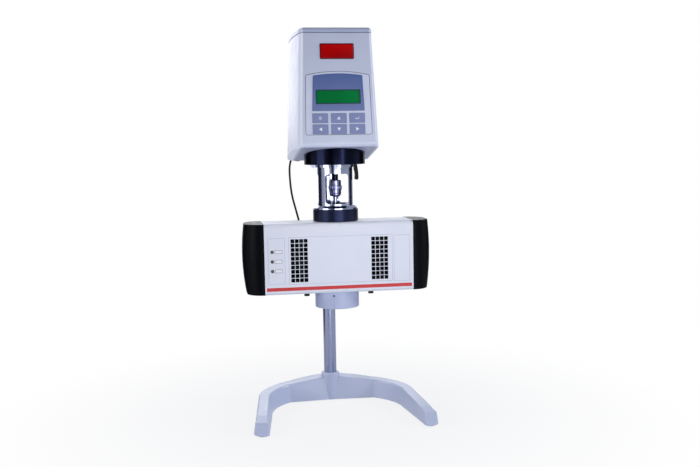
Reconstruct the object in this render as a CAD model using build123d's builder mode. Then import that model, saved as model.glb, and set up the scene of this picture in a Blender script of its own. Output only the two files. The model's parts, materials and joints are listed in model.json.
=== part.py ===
"""Bench rotational viscometer: a measuring head on a round column in a horseshoe base,
with a bar-shaped, air-cooled temperature unit hung from the head by a windowed tube.

Frame: millimetres, +Z up, the front faces -Y, and the origin lies on the floor in the
middle of the overall outline. Heights are real heights above the floor. Depths called
"from the axis" are counted from the vertical measuring axis, positive to the rear.
"""
import os
from math import atan2, cos, radians, sin, tan

from build123d import *

os.makedirs("parts", exist_ok=True)

# ---- overall -----------------------------------------------------------------------
overall_height = 722.0
overall_depth = 288.0
foot_reach = 238.0            # column axis to the front of the feet
throat = 118.5                # measuring axis to column axis
column_y = foot_reach - overall_depth / 2
axis_y = column_y - throat
rear_limit = overall_depth / 2 - axis_y      # rearmost point, from the axis

# ---- stand -------------------------------------------------------------------------
column_radius = 12.5
column_top = 604.0
pad_height = 2.5
boss_height = 55.2
boss_radius = 17.9
boss_flare = 3.4              # radius gained from the top of the boss to its foot
column_seat_z = 14.0          # floor of the hole that takes the column
casting_draft = 9.0

# ---- head --------------------------------------------------------------------------
seam_z = 712.0                # joint between housing and lid
face_low_z = 509.5            # lower front edge of the head
face_low_y = -68.3            # the same edge, from the axis
face_top_y = -52.2            # front edge at the lid joint, from the axis
under_z = 483.6               # flat rear part of the underside
under_y = 61.5                # where the sloped underside turns flat, from the axis
head_rear_y = 150.0
side_taper = 0.03817          # half width lost per millimetre of height
front_half_width = 59.9       # half widths at the lid joint
shoulder_half_width = 66.3    # where the bowed front corner meets the side
mid_half_width = 70.0
rear_half_width = 65.5
shoulder_set_back = 21.2      # of that meeting line behind the front edge
head_mid_y = 50.0             # widest place of the head, from the axis
head_wall = 4.0
front_crease = 2.0            # radius of the crease beside the front face
rear_corner = 8.0
tuck_height, tuck_inset = 19.0, 6.0      # the sides curve in above the underside
lid_overhang = 0.6
lid_reveal = 1.2              # height of the shadow gap under the lid
chassis_z = 520.0
chassis_thickness = 6.0

# ---- front panel, measured on the leaning front face -------------------------------
lean = atan2(face_top_y - face_low_y, seam_z - face_low_z)
panel_depth = 2.0
panel_low = 21.5
panel_high = 128.5
panel_arch = 135.0
panel_low_half = 60.4
panel_high_half = 57.8
label_low = 64.0
label_high = 127.4
label_arch = 130.9
label_low_half = 47.6
label_high_half = 44.7
screen_width, screen_height, screen_middle = 82.0, 26.6, 89.4
key_width, key_height = 28.2, 17.2
key_columns = (-33.4, 0.0, 33.4)
key_rows = (51.4, 31.6)
key_travel = 0.6
window_width, window_height, window_middle = 62.0, 28.0, 170.6

# ---- drive -------------------------------------------------------------------------
flange_radius = 56.7
flange_low_z = 476.9
shaft_radius = 6.0
shaft_top = 628.0
motor_radius = 36.0
motor_low_z = chassis_z + chassis_thickness
motor_high_z = 606.0

# ---- tube, coupling and measuring system -------------------------------------------
tube_radius = 32.8
tube_wall = 3.0
tube_seat_z = 394.4
window_low_z, window_high_z = 404.0, 459.5
window_angle = 83.0
coupling_radius = 11.3
coupling_low_z, coupling_high_z = 416.7, 447.5
sleeve_radius = 13.0
sleeve_low_z, sleeve_high_z = 428.3, 437.4
cup_bore = 14.46
cup_wall = 1.5
bob_radius = 13.33
ring_radius = 42.0

# ---- temperature unit --------------------------------------------------------------
unit_half_width = 138.0
unit_half_depth = 44.6
unit_low_z, unit_high_z = 241.6, 371.6
unit_wall = 3.0
cap_reach = 176.0
vent_x = 74.6
vent_z = 303.7
vent_pitch = 8.0
vent_hole = 7.0
fan_size = 80.0
fan_depth = 25.0
fan_front_y = -41.0
bottom_cap_radius = 41.2
bottom_cap_low_z = 210.1
lock_screw_z = 235.0
lock_screw_angle = 16.0       # of the bottom cap's locking screw, degrees left of the front
lock_screw_radius = 2.0

# ---- sensor cable ------------------------------------------------------------------
cable_radius = 2.0
cable_route = (
    (-65.5, 160.5, 484.3), (-69.4, 160.5, 473.6), (-69.4, 160.0, 449.0), (-67.5, 150.0, 415.0),
    (-62.5, 121.0, 386.0), (-58.5, 101.0, 364.0), (-56.0, 91.0, 342.0), (-55.0, 93.0, 317.0),
    (-55.0, 86.0, 296.0), (-55.0, 66.0, 296.0),
)


def axis_plane(z, x=0.0, y=0.0):
    """A level plane with its origin over the measuring axis, or x and y away from it."""
    return Plane((x, axis_y + y, z))


def column_plane(z, x=0.0, y=0.0):
    """A level plane with its origin over the column, or x and y away from it."""
    return Plane((x, column_y + y, z))


def front_plane(y, x=0.0, z=0.0):
    """An upright plane facing the front, y from the axis."""
    return Plane(origin=(x, axis_y + y, z), x_dir=(1, 0, 0), z_dir=(0, -1, 0))


def side_plane(x=0.0):
    """An upright plane across X, drawn in (distance from the axis, height)."""
    return Plane(origin=(x, axis_y, 0), x_dir=(0, 1, 0), z_dir=(1, 0, 0))


lock_screw_plane = Plane(
    origin=(0, axis_y, lock_screw_z), z_dir=Vector(0, -1, 0).rotate(Axis.Z, -lock_screw_angle)
)
face_plane = Plane(
    origin=(0, axis_y + face_low_y, face_low_z), x_dir=(1, 0, 0), z_dir=(0, -cos(lean), sin(lean))
)


def underside_height(y):
    """Height of the head's underside, y from the axis."""
    slope = (face_low_z - under_z) / (under_y - face_low_y)
    return max(under_z, under_z + slope * (under_y - y))


def head_section(z, inset=0.0):
    """Plan outline of the head at one height, moved inwards by inset."""
    spread = side_taper * (seam_z - z)
    front = face_top_y - tan(lean) * (seam_z - z)
    crease = (front_half_width + spread - inset, front + inset)
    bow = (
        (front_half_width + shoulder_half_width) / 2 + 1.5 + spread - 0.9 * inset,
        front + shoulder_set_back / 2 - 0.5 + 0.4 * inset,
    )
    shoulder = (shoulder_half_width + spread - inset, front + shoulder_set_back)
    widest = (mid_half_width + spread - inset, head_mid_y)
    rear = (rear_half_width + spread - inset, head_rear_y - inset)
    with BuildSketch(axis_plane(z)) as section:
        with BuildLine():
            Line((0, crease[1]), crease)
            ThreePointArc(crease, bow, shoulder)
            ThreePointArc(shoulder, widest, rear)
            Line(rear, (0, rear[1]))
            mirror(about=Plane.YZ)
        make_face()
        corners = section.vertices().group_by(Axis.Y)[0]
        fillet(corners, max(front_crease - inset, 0.6))
        corners = section.vertices().group_by(Axis.Y)[-1]
        fillet(corners, max(rear_corner - inset, 1.0))
    return section.sketch


def arched_outline(low, high, arch, low_half, high_half, corner, inset=0.0):
    """An upright tapered plate with a bowed top, drawn on the leaning front face."""
    with BuildSketch(face_plane) as outline:
        with BuildLine():
            Line((-low_half + inset, low + inset), (low_half - inset, low + inset))
            Line((low_half - inset, low + inset), (high_half - inset, high - inset))
            ThreePointArc(
                (high_half - inset, high - inset), (0, arch - inset), (-high_half + inset, high - inset)
            )
            Line((-high_half + inset, high - inset), (-low_half + inset, low + inset))
        make_face()
        fillet(outline.vertices(), corner)
    return outline.sketch


def panel_outline(inset=0.0):
    """Outline of the keypad panel."""
    return arched_outline(
        panel_low, panel_high, panel_arch, panel_low_half, panel_high_half, 4.0, inset
    )


# ====================================================================================
# Stand
# ====================================================================================
def horseshoe_section(z, inset):
    """Plan outline of the base at one height; the draft of the casting moves it inwards."""
    slant = 0.7 * inset
    with BuildSketch(column_plane(z)) as section:
        with BuildLine():
            Line((0, 28 - inset), (48, 28 - inset))
            ThreePointArc((48, 28 - inset), (121 - slant, -9 - slant), (156 - inset, -98))
            Line((156 - inset, -98), (168 - inset, -212))
            ThreePointArc(
                (168 - inset, -212), (164 - slant, slant - 231), (154 - 0.2 * inset, inset - foot_reach)
            )
            ThreePointArc(
                (154 - 0.2 * inset, inset - foot_reach), (145 + slant, slant - 236), (141 + inset, -226)
            )
            Line((141 + inset, -226), (127 + inset, -106))
            ThreePointArc((127 + inset, -106), (113 + slant, slant - 58), (84, inset - 25))
            Line((84, inset - 25), (0, inset - 20))
            mirror(about=Plane.YZ)
        make_face()
    return section.sketch


draft_inset = boss_height * tan(radians(casting_draft))
with BuildPart() as base_casting:
    loft(
        sections=[
            horseshoe_section(pad_height, 0.0), horseshoe_section(pad_height + boss_height, draft_inset)
        ],
        ruled=True,
    )
    with BuildSketch(Plane.XZ):
        with BuildLine():
            Polyline((0, 47), (18, 47), (80, 38.5), (130, 36.5), (175, 36), (175, 0), (0, 0))
            mirror(about=Plane.YZ)
        make_face()
    extrude(amount=300, both=True, mode=Mode.INTERSECT)
    with BuildSketch(Plane((0, column_y, 0), x_dir=(0, 1, 0), z_dir=(1, 0, 0))):
        Polygon(
            (40, 0), (40, 60), (-66, 60), (-66, 37), (-94, 35.5), (-160, 30.5), (-190, 27.5),
            (-219, 22), (-foot_reach, 4), (-foot_reach, 0), align=None,
        )
    extrude(amount=180, both=True, mode=Mode.INTERSECT)
    fillet(base_casting.edges().filter_by(lambda edge: edge.center().Z > 18 and edge.length > 12), 3.5)
    with BuildSketch(column_plane(pad_height)):
        Circle(boss_radius + boss_flare)
    with BuildSketch(column_plane(boss_height)):
        Circle(boss_radius)
    loft()
    fillet(base_casting.faces().sort_by(Axis.Z)[-1].edges(), 2.5)
    with Locations(column_plane(boss_height)):
        Hole(radius=column_radius + 0.02, depth=boss_height - column_seat_z)
    with Locations(column_plane(pad_height)):
        Cylinder(9.0, 8.0, align=(Align.CENTER, Align.CENTER, Align.MIN), mode=Mode.SUBTRACT)
        Cylinder(5.2, 14.0, align=(Align.CENTER, Align.CENTER, Align.MIN), mode=Mode.SUBTRACT)
base_casting.part.label = "base_casting"
export_step(base_casting.part, "parts/base_casting.step")

with BuildPart() as rubber_feet:
    for pad_x, pad_y in ((153, -222), (-153, -222), (76, 4), (-76, 4)):
        with Locations(column_plane(0, pad_x, pad_y)):
            Cylinder(9.0, pad_height, align=(Align.CENTER, Align.CENTER, Align.MIN))
    for foot_x, foot_y in ((-60, -26), (60, -26), (-60, 26), (60, 26)):
        with Locations(axis_plane(unit_low_z, foot_x, foot_y)):
            Cylinder(5.0, 6.0, align=(Align.CENTER, Align.CENTER, Align.MAX))
rubber_feet.part.label = "rubber_feet"
export_step(rubber_feet.part, "parts/rubber_feet.step")

column_low_z = column_seat_z + pad_height
with BuildPart() as column:
    with Locations(column_plane(column_low_z)):
        Cylinder(column_radius, column_top - column_low_z, align=(Align.CENTER, Align.CENTER, Align.MIN))
    chamfer(column.edges().filter_by(GeomType.CIRCLE), 1.0)
    with Locations(column_plane(column_low_z)):
        Cylinder(5.0, 30.0, align=(Align.CENTER, Align.CENTER, Align.MIN), mode=Mode.SUBTRACT)
column.part.label = "column"
export_step(column.part, "parts/column.step")

with BuildPart() as column_bolt:
    with Locations(column_plane(pad_height + 2.0)):
        Cylinder(8.0, 6.0, align=(Align.CENTER, Align.CENTER, Align.MIN))
        Cylinder(4.98, 38.0, align=(Align.CENTER, Align.CENTER, Align.MIN))
    with BuildSketch(column_plane(pad_height + 2.0)):
        RegularPolygon(4.6, 6)
    extrude(amount=4.0, mode=Mode.SUBTRACT)
column_bolt.part.label = "column_bolt"
export_step(column_bolt.part, "parts/column_bolt.step")

# ====================================================================================
# Head: casing
# ====================================================================================
head_low_z = 470.0
rear_panel_width, rear_panel_height, rear_panel_z = 108.0, 84.0, 652.0
plate_inset = head_wall + 0.15
sensor_x, sensor_z = -58.0, 505.0


def tucked_form(inset):
    """Long form with curved-in lower sides, above the sloping and the level underside."""
    slope = Vector(0, face_low_y - under_y, face_low_z - under_z).normalized()
    side_x = mid_half_width + side_taper * (seam_z - under_z) - inset
    low_x = side_x - tuck_inset
    with BuildPart() as form:
        for forward, mode in ((Vector(0, -1, 0), Mode.ADD), (slope, Mode.INTERSECT)):
            with BuildSketch(Plane(origin=(0, axis_y + under_y, under_z), x_dir=(1, 0, 0), z_dir=forward)):
                with BuildLine():
                    Line((0, 0), (low_x, 0))
                    ThreePointArc(
                        (low_x, 0), (side_x - 0.27 * tuck_inset, tuck_height / 2), (side_x, tuck_height)
                    )
                    Polyline((side_x, tuck_height), (side_x + 5, 60), (side_x + 5, 300), (0, 300))
                    mirror(about=Plane.YZ)
                make_face()
            extrude(amount=200, both=True, mode=mode)
    return form.part


def head_cavity():
    """Space inside the head's walls."""
    with BuildPart() as cavity:
        loft(
            sections=[head_section(head_low_z, head_wall), head_section(seam_z + 1.0, head_wall)],
            ruled=True,
        )
        add(tucked_form(head_wall), mode=Mode.INTERSECT)
    return cavity.part


with BuildPart() as head_housing:
    loft(sections=[head_section(head_low_z), head_section(seam_z)], ruled=True)
    with BuildSketch(side_plane()) as side_profile:
        Polygon(
            (170, under_z), (170, seam_z), (face_top_y, seam_z), (face_low_y, face_low_z), (under_y, under_z),
            align=None,
        )
        fillet(side_profile.vertices().sort_by(Axis.X)[0], 9.0)
    extrude(amount=120, both=True, mode=Mode.INTERSECT)
    add(tucked_form(0.0), mode=Mode.INTERSECT)
    add(head_cavity(), mode=Mode.SUBTRACT)
    extrude(panel_outline(), amount=-panel_depth, mode=Mode.SUBTRACT)
    with BuildSketch(face_plane):
        with Locations((0, panel_low)):
            Rectangle(104, 102, align=(Align.CENTER, Align.MIN))
    extrude(amount=-12.0, mode=Mode.SUBTRACT)
    with BuildSketch(face_plane):
        with Locations((0, window_middle)):
            RectangleRounded(window_width, window_height, 2.5)
    extrude(amount=-12.0, mode=Mode.SUBTRACT)
    with BuildSketch(front_plane(head_rear_y, 0, rear_panel_z)):
        Rectangle(rear_panel_width, rear_panel_height)
    extrude(amount=2.0, mode=Mode.SUBTRACT)
    with BuildSketch(front_plane(head_rear_y, 0, rear_panel_z)):
        Rectangle(rear_panel_width - 10, rear_panel_height - 10)
    extrude(amount=10.0, mode=Mode.SUBTRACT)
    with BuildSketch(front_plane(head_rear_y, sensor_x, sensor_z)):
        Circle(4.5)
    extrude(amount=10.0, mode=Mode.SUBTRACT)
head_housing.part.label = "head_housing"
export_step(head_housing.part, "parts/head_housing.step")

with BuildPart() as head_lid:
    add(head_section(seam_z, -lid_overhang))
    extrude(amount=overall_height - seam_z)
    fillet(head_lid.faces().sort_by(Axis.Z)[-1].edges(), 4.5)
    add(head_section(seam_z, -lid_overhang - 5.0))
    add(head_section(seam_z, 1.2), mode=Mode.SUBTRACT)
    extrude(amount=lid_reveal, mode=Mode.SUBTRACT)
    add(head_section(seam_z, 3.0))
    extrude(amount=overall_height - seam_z - 3.0, mode=Mode.SUBTRACT)
    add(head_section(seam_z, head_wall + 0.2))
    add(head_section(seam_z, head_wall + 2.2), mode=Mode.SUBTRACT)
    extrude(amount=-4.0)
    add(head_section(seam_z, 3.0))
    add(head_section(seam_z, head_wall + 2.2), mode=Mode.SUBTRACT)
    extrude(amount=2.0)
head_lid.part.label = "head_lid"
export_step(head_lid.part, "parts/head_lid.step")

plate_thickness = 4.0
neck_radius = 30.0
with BuildPart() as underside_plate:
    loft(
        sections=[head_section(head_low_z, plate_inset), head_section(540.0, plate_inset)], ruled=True
    )
    add(tucked_form(plate_inset), mode=Mode.INTERSECT)
    with BuildSketch(side_plane()):
        Polygon(
            (170, under_z), (170, under_z + plate_thickness), (under_y, under_z + plate_thickness),
            (face_low_y, face_low_z + plate_thickness), (face_low_y, face_low_z), (under_y, under_z),
            align=None,
        )
    extrude(amount=120, both=True, mode=Mode.INTERSECT)
    with Locations(axis_plane(495.0)):
        Cylinder(neck_radius + 0.3, 60.0, mode=Mode.SUBTRACT)
    with Locations(column_plane(495.0)):
        Cylinder(column_radius + 0.8, 60.0, mode=Mode.SUBTRACT)
underside_plate.part.label = "underside_plate"
export_step(underside_plate.part, "parts/underside_plate.step")

with BuildPart() as casing_screws:
    with Locations(
        axis_plane(under_z, -58, 100), axis_plane(under_z, 58, 100), axis_plane(under_z, -58, 140),
        axis_plane(under_z, 58, 140),
    ):
        Cylinder(3.2, 2.0, align=(Align.CENTER, Align.CENTER, Align.MAX))
    with BuildSketch(lock_screw_plane.offset(30.0)):
        Circle(lock_screw_radius - 0.02)
    extrude(amount=bottom_cap_radius - 30.2)
casing_screws.part.label = "casing_screws"
export_step(casing_screws.part, "parts/casing_screws.step")

# ====================================================================================
# Head: front panel, display and keys
# ====================================================================================
label_thickness = 0.6
key_gap = 0.3
key_rim = 1.0
key_back = panel_depth + 0.2  # of a key's body, behind the face
key_rim_thickness = 1.0
stud_length = 5.0             # from the panel's back to the keypad board
key_stem = stud_length - 1.2 - 2 * key_travel
key_points = [(x, y) for y in key_rows for x in key_columns]
with BuildPart() as keypad_panel:
    extrude(panel_outline(0.5), amount=-panel_depth)
    with BuildSketch(face_plane):
        with Locations(*key_points):
            RectangleRounded(key_width + 2 * key_gap, key_height + 2 * key_gap, 1.6)
    extrude(amount=-panel_depth, mode=Mode.SUBTRACT)
    with BuildSketch(face_plane):
        with Locations((0, screen_middle)):
            Rectangle(screen_width, screen_height)
    extrude(amount=-panel_depth, mode=Mode.SUBTRACT)
    with BuildSketch(face_plane.offset(-panel_depth)):
        with Locations((-16.7, 41.5), (16.7, 41.5), (-50.3, 41.5), (50.3, 41.5)):
            Circle(1.3)
    extrude(amount=-stud_length)
keypad_panel.part.label = "keypad_panel"
export_step(keypad_panel.part, "parts/keypad_panel.step")

with BuildPart() as display_label:
    extrude(
        arched_outline(label_low, label_high, label_arch, label_low_half, label_high_half, 1.2),
        amount=label_thickness,
    )
    with BuildSketch(face_plane):
        with Locations((0, screen_middle)):
            RectangleRounded(screen_width - 1.0, screen_height - 1.0, 0.8)
    extrude(amount=label_thickness, mode=Mode.SUBTRACT)
display_label.part.label = "display_label"
export_step(display_label.part, "parts/display_label.step")

with BuildPart() as display_module:
    with BuildSketch(face_plane.offset(-0.2)):
        with Locations((0, screen_middle)):
            Rectangle(screen_width - 0.4, screen_height - 0.4)
    extrude(amount=-2.0)
    with BuildSketch(face_plane.offset(-panel_depth)):
        with Locations((0, screen_middle)):
            Rectangle(98, 36)
    extrude(amount=-7.0)
display_module.part.label = "display_module"
export_step(display_module.part, "parts/display_module.step")

with BuildPart() as keypad_board:
    with BuildSketch(face_plane.offset(-panel_depth - stud_length)):
        with Locations((0, 43.0)):
            Rectangle(107, 44)
    extrude(amount=-1.6)
keypad_board.part.label = "keypad_board"
export_step(keypad_board.part, "parts/keypad_board.step")

key_names = ("start_key", "up_key", "enter_key", "left_key", "down_key", "right_key")
for key_name, key_point in zip(key_names, key_points):
    with BuildPart() as key:
        with BuildSketch(face_plane.offset(-key_back)):
            with Locations(key_point):
                RectangleRounded(key_width, key_height, 1.4)
        extrude(amount=key_back + 0.8)
        fillet(key.faces().sort_by(Axis(face_plane.origin, face_plane.z_dir))[-1].edges(), 0.3)
        with BuildSketch(face_plane.offset(-key_back)):
            with Locations(key_point):
                RectangleRounded(key_width + 2 * key_rim, key_height + 2 * key_rim, 2.2)
        extrude(amount=-key_rim_thickness)
        with BuildSketch(face_plane.offset(-key_back - key_rim_thickness)):
            with Locations(key_point):
                Circle(4.0)
        extrude(amount=-key_stem)
    key.part.label = key_name
    export_step(key.part, f"parts/{key_name}.step")

window_seat = 3.0             # depth of the window and its bezel behind the face
with BuildPart() as window_bezel:
    with BuildSketch(face_plane.offset(-window_seat)):
        with Locations((0, window_middle)):
            RectangleRounded(window_width - 0.3, window_height - 0.3, 2.4)
            RectangleRounded(window_width - 4.0, window_height - 4.0, 1.2, mode=Mode.SUBTRACT)
    extrude(amount=window_seat + 0.6)
window_bezel.part.label = "window_bezel"
export_step(window_bezel.part, "parts/window_bezel.step")

with BuildPart() as signal_window:
    with BuildSketch(face_plane.offset(-window_seat)):
        with Locations((0, window_middle)):
            RectangleRounded(window_width - 4.1, window_height - 4.1, 1.2)
    extrude(amount=window_seat + 1.2)
    fillet(signal_window.faces().sort_by(Axis(face_plane.origin, face_plane.z_dir))[-1].edges(), 0.9)
signal_window.part.label = "signal_window"
export_step(signal_window.part, "parts/signal_window.step")

# ====================================================================================
# Head: chassis, clamp and electronics
# ====================================================================================
with BuildPart() as head_chassis:
    add(head_section(chassis_z, head_wall + 0.4))
    extrude(amount=chassis_thickness)
    with BuildSketch(axis_plane(chassis_z)):
        with Locations((0, -65)):
            Rectangle(200, 30)
    extrude(amount=chassis_thickness, mode=Mode.SUBTRACT)
    with Locations(axis_plane(chassis_z)):
        Cylinder(14.0, 40.0, mode=Mode.SUBTRACT)
    with Locations(column_plane(chassis_z)):
        Cylinder(column_radius + 0.02, 40.0, mode=Mode.SUBTRACT)
head_chassis.part.label = "head_chassis"
export_step(head_chassis.part, "parts/head_chassis.step")

clamp_low_z, clamp_high_z = motor_low_z, 598.0
with BuildPart() as column_clamp:
    with BuildSketch(column_plane(clamp_low_z)):
        RectangleRounded(60, 52, 5)
        Circle(column_radius + 0.02, mode=Mode.SUBTRACT)
        with Locations((0, 20)):
            Rectangle(3, 20, mode=Mode.SUBTRACT)
    extrude(amount=clamp_high_z - clamp_low_z)
    with BuildSketch(Plane((0, column_y + 19, 0), x_dir=(0, 1, 0), z_dir=(1, 0, 0))):
        with Locations((0, clamp_low_z + 18), (0, clamp_high_z - 18)):
            Circle(4.2)
    extrude(amount=40, both=True, mode=Mode.SUBTRACT)
column_clamp.part.label = "column_clamp"
export_step(column_clamp.part, "parts/column_clamp.step")

with BuildPart() as clamp_screws:
    for screw_z in (clamp_low_z + 18, clamp_high_z - 18):
        with BuildSketch(Plane((-24, column_y + 19, screw_z), x_dir=(0, 1, 0), z_dir=(1, 0, 0))):
            Circle(4.0)
        extrude(amount=54.0)
        with BuildSketch(Plane((30, column_y + 19, screw_z), x_dir=(0, 1, 0), z_dir=(1, 0, 0))):
            Circle(6.5)
        extrude(amount=8.0)
        with BuildSketch(Plane((38, column_y + 19, screw_z), x_dir=(0, 1, 0), z_dir=(1, 0, 0))):
            RegularPolygon(3.4, 6)
        extrude(amount=-4.5, mode=Mode.SUBTRACT)
clamp_screws.part.label = "clamp_screws"
export_step(clamp_screws.part, "parts/clamp_screws.step")

with BuildPart() as power_supply:
    with Locations(axis_plane(motor_low_z, 0, 64)):
        Box(104, 40, 74, align=(Align.CENTER, Align.CENTER, Align.MIN))
    chamfer(power_supply.edges().filter_by(Axis.Z), 2.0)
power_supply.part.label = "power_supply"
export_step(power_supply.part, "parts/power_supply.step")

board_y = 100.0
with BuildPart() as control_board:
    with BuildSketch(front_plane(board_y, 0, rear_panel_z)):
        Rectangle(104, 80)
    extrude(amount=1.6)
    with BuildSketch(front_plane(board_y - 1.6, 0, rear_panel_z)):
        with Locations((-25, 15), (5, -10), (30, 18)):
            Rectangle(18, 18)
    extrude(amount=3.0)
control_board.part.label = "control_board"
export_step(control_board.part, "parts/control_board.step")

switch_rise = 21.0            # from the middle of an inlet to the middle of its switch
pivot_radius = 1.25
rocker_tilt = 7.0             # degrees either way of level
inlet_x, inlet_z = -26.0, 640.0
unit_inlet_x, unit_inlet_z = 112.0, 276.0
unit_socket_x, unit_socket_z = -55.0, 296.0
serial_x, serial_z = 24.0, 652.0
with BuildPart() as rear_panel:
    with BuildSketch(front_plane(head_rear_y - 2.0, 0, rear_panel_z)):
        Rectangle(rear_panel_width - 0.4, rear_panel_height - 0.4)
    extrude(amount=-2.0)
    with BuildSketch(front_plane(head_rear_y - 2.0, 0, 0)):
        with Locations((inlet_x, inlet_z)):
            Rectangle(27.4, 20.0)
        with Locations((serial_x, serial_z)):
            Rectangle(20.0, 11.0)
        with Locations((inlet_x, inlet_z + switch_rise)):
            Rectangle(20.0, 13.4)
    extrude(amount=-2.0, mode=Mode.SUBTRACT)
    with BuildSketch(front_plane(head_rear_y - 2.0, 0, rear_panel_z)):
        with GridLocations(92, 68, 2, 2):
            Circle(2.8)
    extrude(amount=head_rear_y - 2.0 - board_y)
rear_panel.part.label = "rear_panel"
export_step(rear_panel.part, "parts/rear_panel.step")


def inlet_profile(x, z, width, height, corner):
    """Outline of a mains inlet with its two lower corners cut off, drawn facing the front."""
    with BuildSketch() as profile:
        with Locations((x, z)):
            Rectangle(width, height)
        chamfer(profile.vertices().sort_by(Axis.Y)[:2], corner)
    return profile.sketch


def back_plane(y):
    """An upright plane facing the rear, drawn with X mirrored so that heights stay heights."""
    return Plane(origin=(0, axis_y + y, 0), x_dir=(-1, 0, 0), z_dir=(0, 1, 0))


def make_power_entry(y, x, z):
    """Mains inlet with a switch well above it, its common flange on an upright face at y."""
    with BuildPart() as entry:
        with BuildSketch(back_plane(y)):
            with Locations((-x, z + switch_rise / 2)):
                RectangleRounded(32.0, 24.0 + switch_rise, 2.0)
        extrude(amount=2.0)
        with BuildSketch(back_plane(y)):
            add(inlet_profile(-x, z, 27.0, 19.6, 4.0))
        extrude(amount=-18.0)
        with BuildSketch(back_plane(y)):
            with Locations((-x, z + switch_rise)):
                Rectangle(19.6, 13.0)
        extrude(amount=-16.0)
        with BuildSketch(back_plane(y + 2.0)):
            add(inlet_profile(-x, z, 24.0, 16.4, 3.5))
        extrude(amount=-17.0, mode=Mode.SUBTRACT)
        with BuildSketch(back_plane(y + 2.0)):
            with Locations((-x, z + switch_rise)):
                Rectangle(17.0, 11.0)
        extrude(amount=-11.0, mode=Mode.SUBTRACT)
        with BuildSketch(back_plane(y - 15.0)):
            with Locations((-x, z + 2.0), (-x - 7.0, z - 2.0), (-x + 7.0, z - 2.0)):
                Rectangle(2.0, 4.0)
        extrude(amount=10.5)
        with BuildSketch(Plane(origin=(x, axis_y + y, z + switch_rise), x_dir=(0, 1, 0), z_dir=(1, 0, 0))):
            Circle(pivot_radius + 0.05)
        extrude(amount=9.3, both=True, mode=Mode.SUBTRACT)
    return entry.part


def make_rocker(y, x, z):
    """Rocker of a mains switch, a shallow V seen from the side, pressed in at its lower end.

    It rocks on two pins along X, whose middle is at y and z.
    """
    with BuildPart() as rocker:
        with BuildSketch(Plane(origin=(x, axis_y + y, z), x_dir=(0, 1, 0), z_dir=(1, 0, 0))):
            with BuildLine():
                Polyline((3.5, 4.8), (2.0, 0), (3.5, -4.8), (-1.0, -4.6))
                ThreePointArc((-1.0, -4.6), (-3.5, 0), (-1.0, 4.6))
                Line((-1.0, 4.6), (3.5, 4.8))
            make_face()
        extrude(amount=8.1, both=True)
        with BuildSketch(Plane(origin=(x, axis_y + y, z), x_dir=(0, 1, 0), z_dir=(1, 0, 0))):
            Circle(pivot_radius)
        extrude(amount=9.2, both=True)
    pivot = Axis((x, axis_y + y, z), (1, 0, 0))
    return rocker.part.rotate(pivot, -rocker_tilt)


with BuildPart() as power_entries:
    add(make_power_entry(head_rear_y, inlet_x, inlet_z))
    add(make_power_entry(unit_half_depth, unit_inlet_x, unit_inlet_z))
power_entries.part.label = "power_entries"
export_step(power_entries.part, "parts/power_entries.step")

power_rocker = make_rocker(head_rear_y, inlet_x, inlet_z + switch_rise)
power_rocker.label = "power_rocker"
export_step(power_rocker, "parts/power_rocker.step")
unit_rocker = make_rocker(unit_half_depth, unit_inlet_x, unit_inlet_z + switch_rise)
unit_rocker.label = "unit_rocker"
export_step(unit_rocker, "parts/unit_rocker.step")

with BuildPart() as serial_socket:
    with BuildSketch(back_plane(head_rear_y)):
        with Locations((-serial_x, serial_z)):
            RectangleRounded(31.0, 13.0, 1.0)
    extrude(amount=1.0)
    with BuildSketch(back_plane(head_rear_y)):
        with Locations((-serial_x, serial_z)):
            Trapezoid(18.6, 9.6, 80)
    extrude(amount=7.0)
    with BuildSketch(back_plane(head_rear_y + 7.0)):
        with Locations((-serial_x, serial_z)):
            Trapezoid(16.6, 8.2, 80)
    extrude(amount=-5.0, mode=Mode.SUBTRACT)
    with BuildSketch(back_plane(head_rear_y)):
        with Locations((-serial_x, serial_z)):
            Rectangle(19.6, 10.6)
    extrude(amount=-10.0)
    with BuildSketch(back_plane(head_rear_y + 1.0)):
        with Locations((-serial_x - 12.5, serial_z), (12.5 - serial_x, serial_z)):
            RegularPolygon(2.6, 6)
    extrude(amount=4.5)
serial_socket.part.label = "serial_socket"
export_step(serial_socket.part, "parts/serial_socket.step")

# ====================================================================================
# Drive: flange, bearings, motor, shaft
# ====================================================================================
with BuildPart() as mounting_flange:
    with Locations(axis_plane(flange_low_z)):
        Cylinder(flange_radius, 60, align=(Align.CENTER, Align.CENTER, Align.MIN))
    cut_reach = flange_radius + 1.0
    with BuildSketch(side_plane()):
        Polygon(
            (-cut_reach, underside_height(-cut_reach)), (cut_reach, underside_height(cut_reach)),
            (cut_reach, 560), (-cut_reach, 560), align=None,
        )
    extrude(amount=60, both=True, mode=Mode.SUBTRACT)
    fillet(mounting_flange.faces().sort_by(Axis.Z)[0].edges(), 1.2)
    with Locations(axis_plane(flange_low_z + 7.0)):
        Cylinder(neck_radius, chassis_z - flange_low_z - 7.0, align=(Align.CENTER, Align.CENTER, Align.MIN))
    with Locations(axis_plane(flange_low_z)):
        Cylinder(tube_radius + 0.1, 7.0, align=(Align.CENTER, Align.CENTER, Align.MIN), mode=Mode.SUBTRACT)
        Cylinder(8.0, 70.0, align=(Align.CENTER, Align.CENTER, Align.MIN), mode=Mode.SUBTRACT)
    with Locations(axis_plane(flange_low_z + 11.0)):
        Cylinder(14.0, 70.0, align=(Align.CENTER, Align.CENTER, Align.MIN), mode=Mode.SUBTRACT)
mounting_flange.part.label = "mounting_flange"
export_step(mounting_flange.part, "parts/mounting_flange.step")

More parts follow.
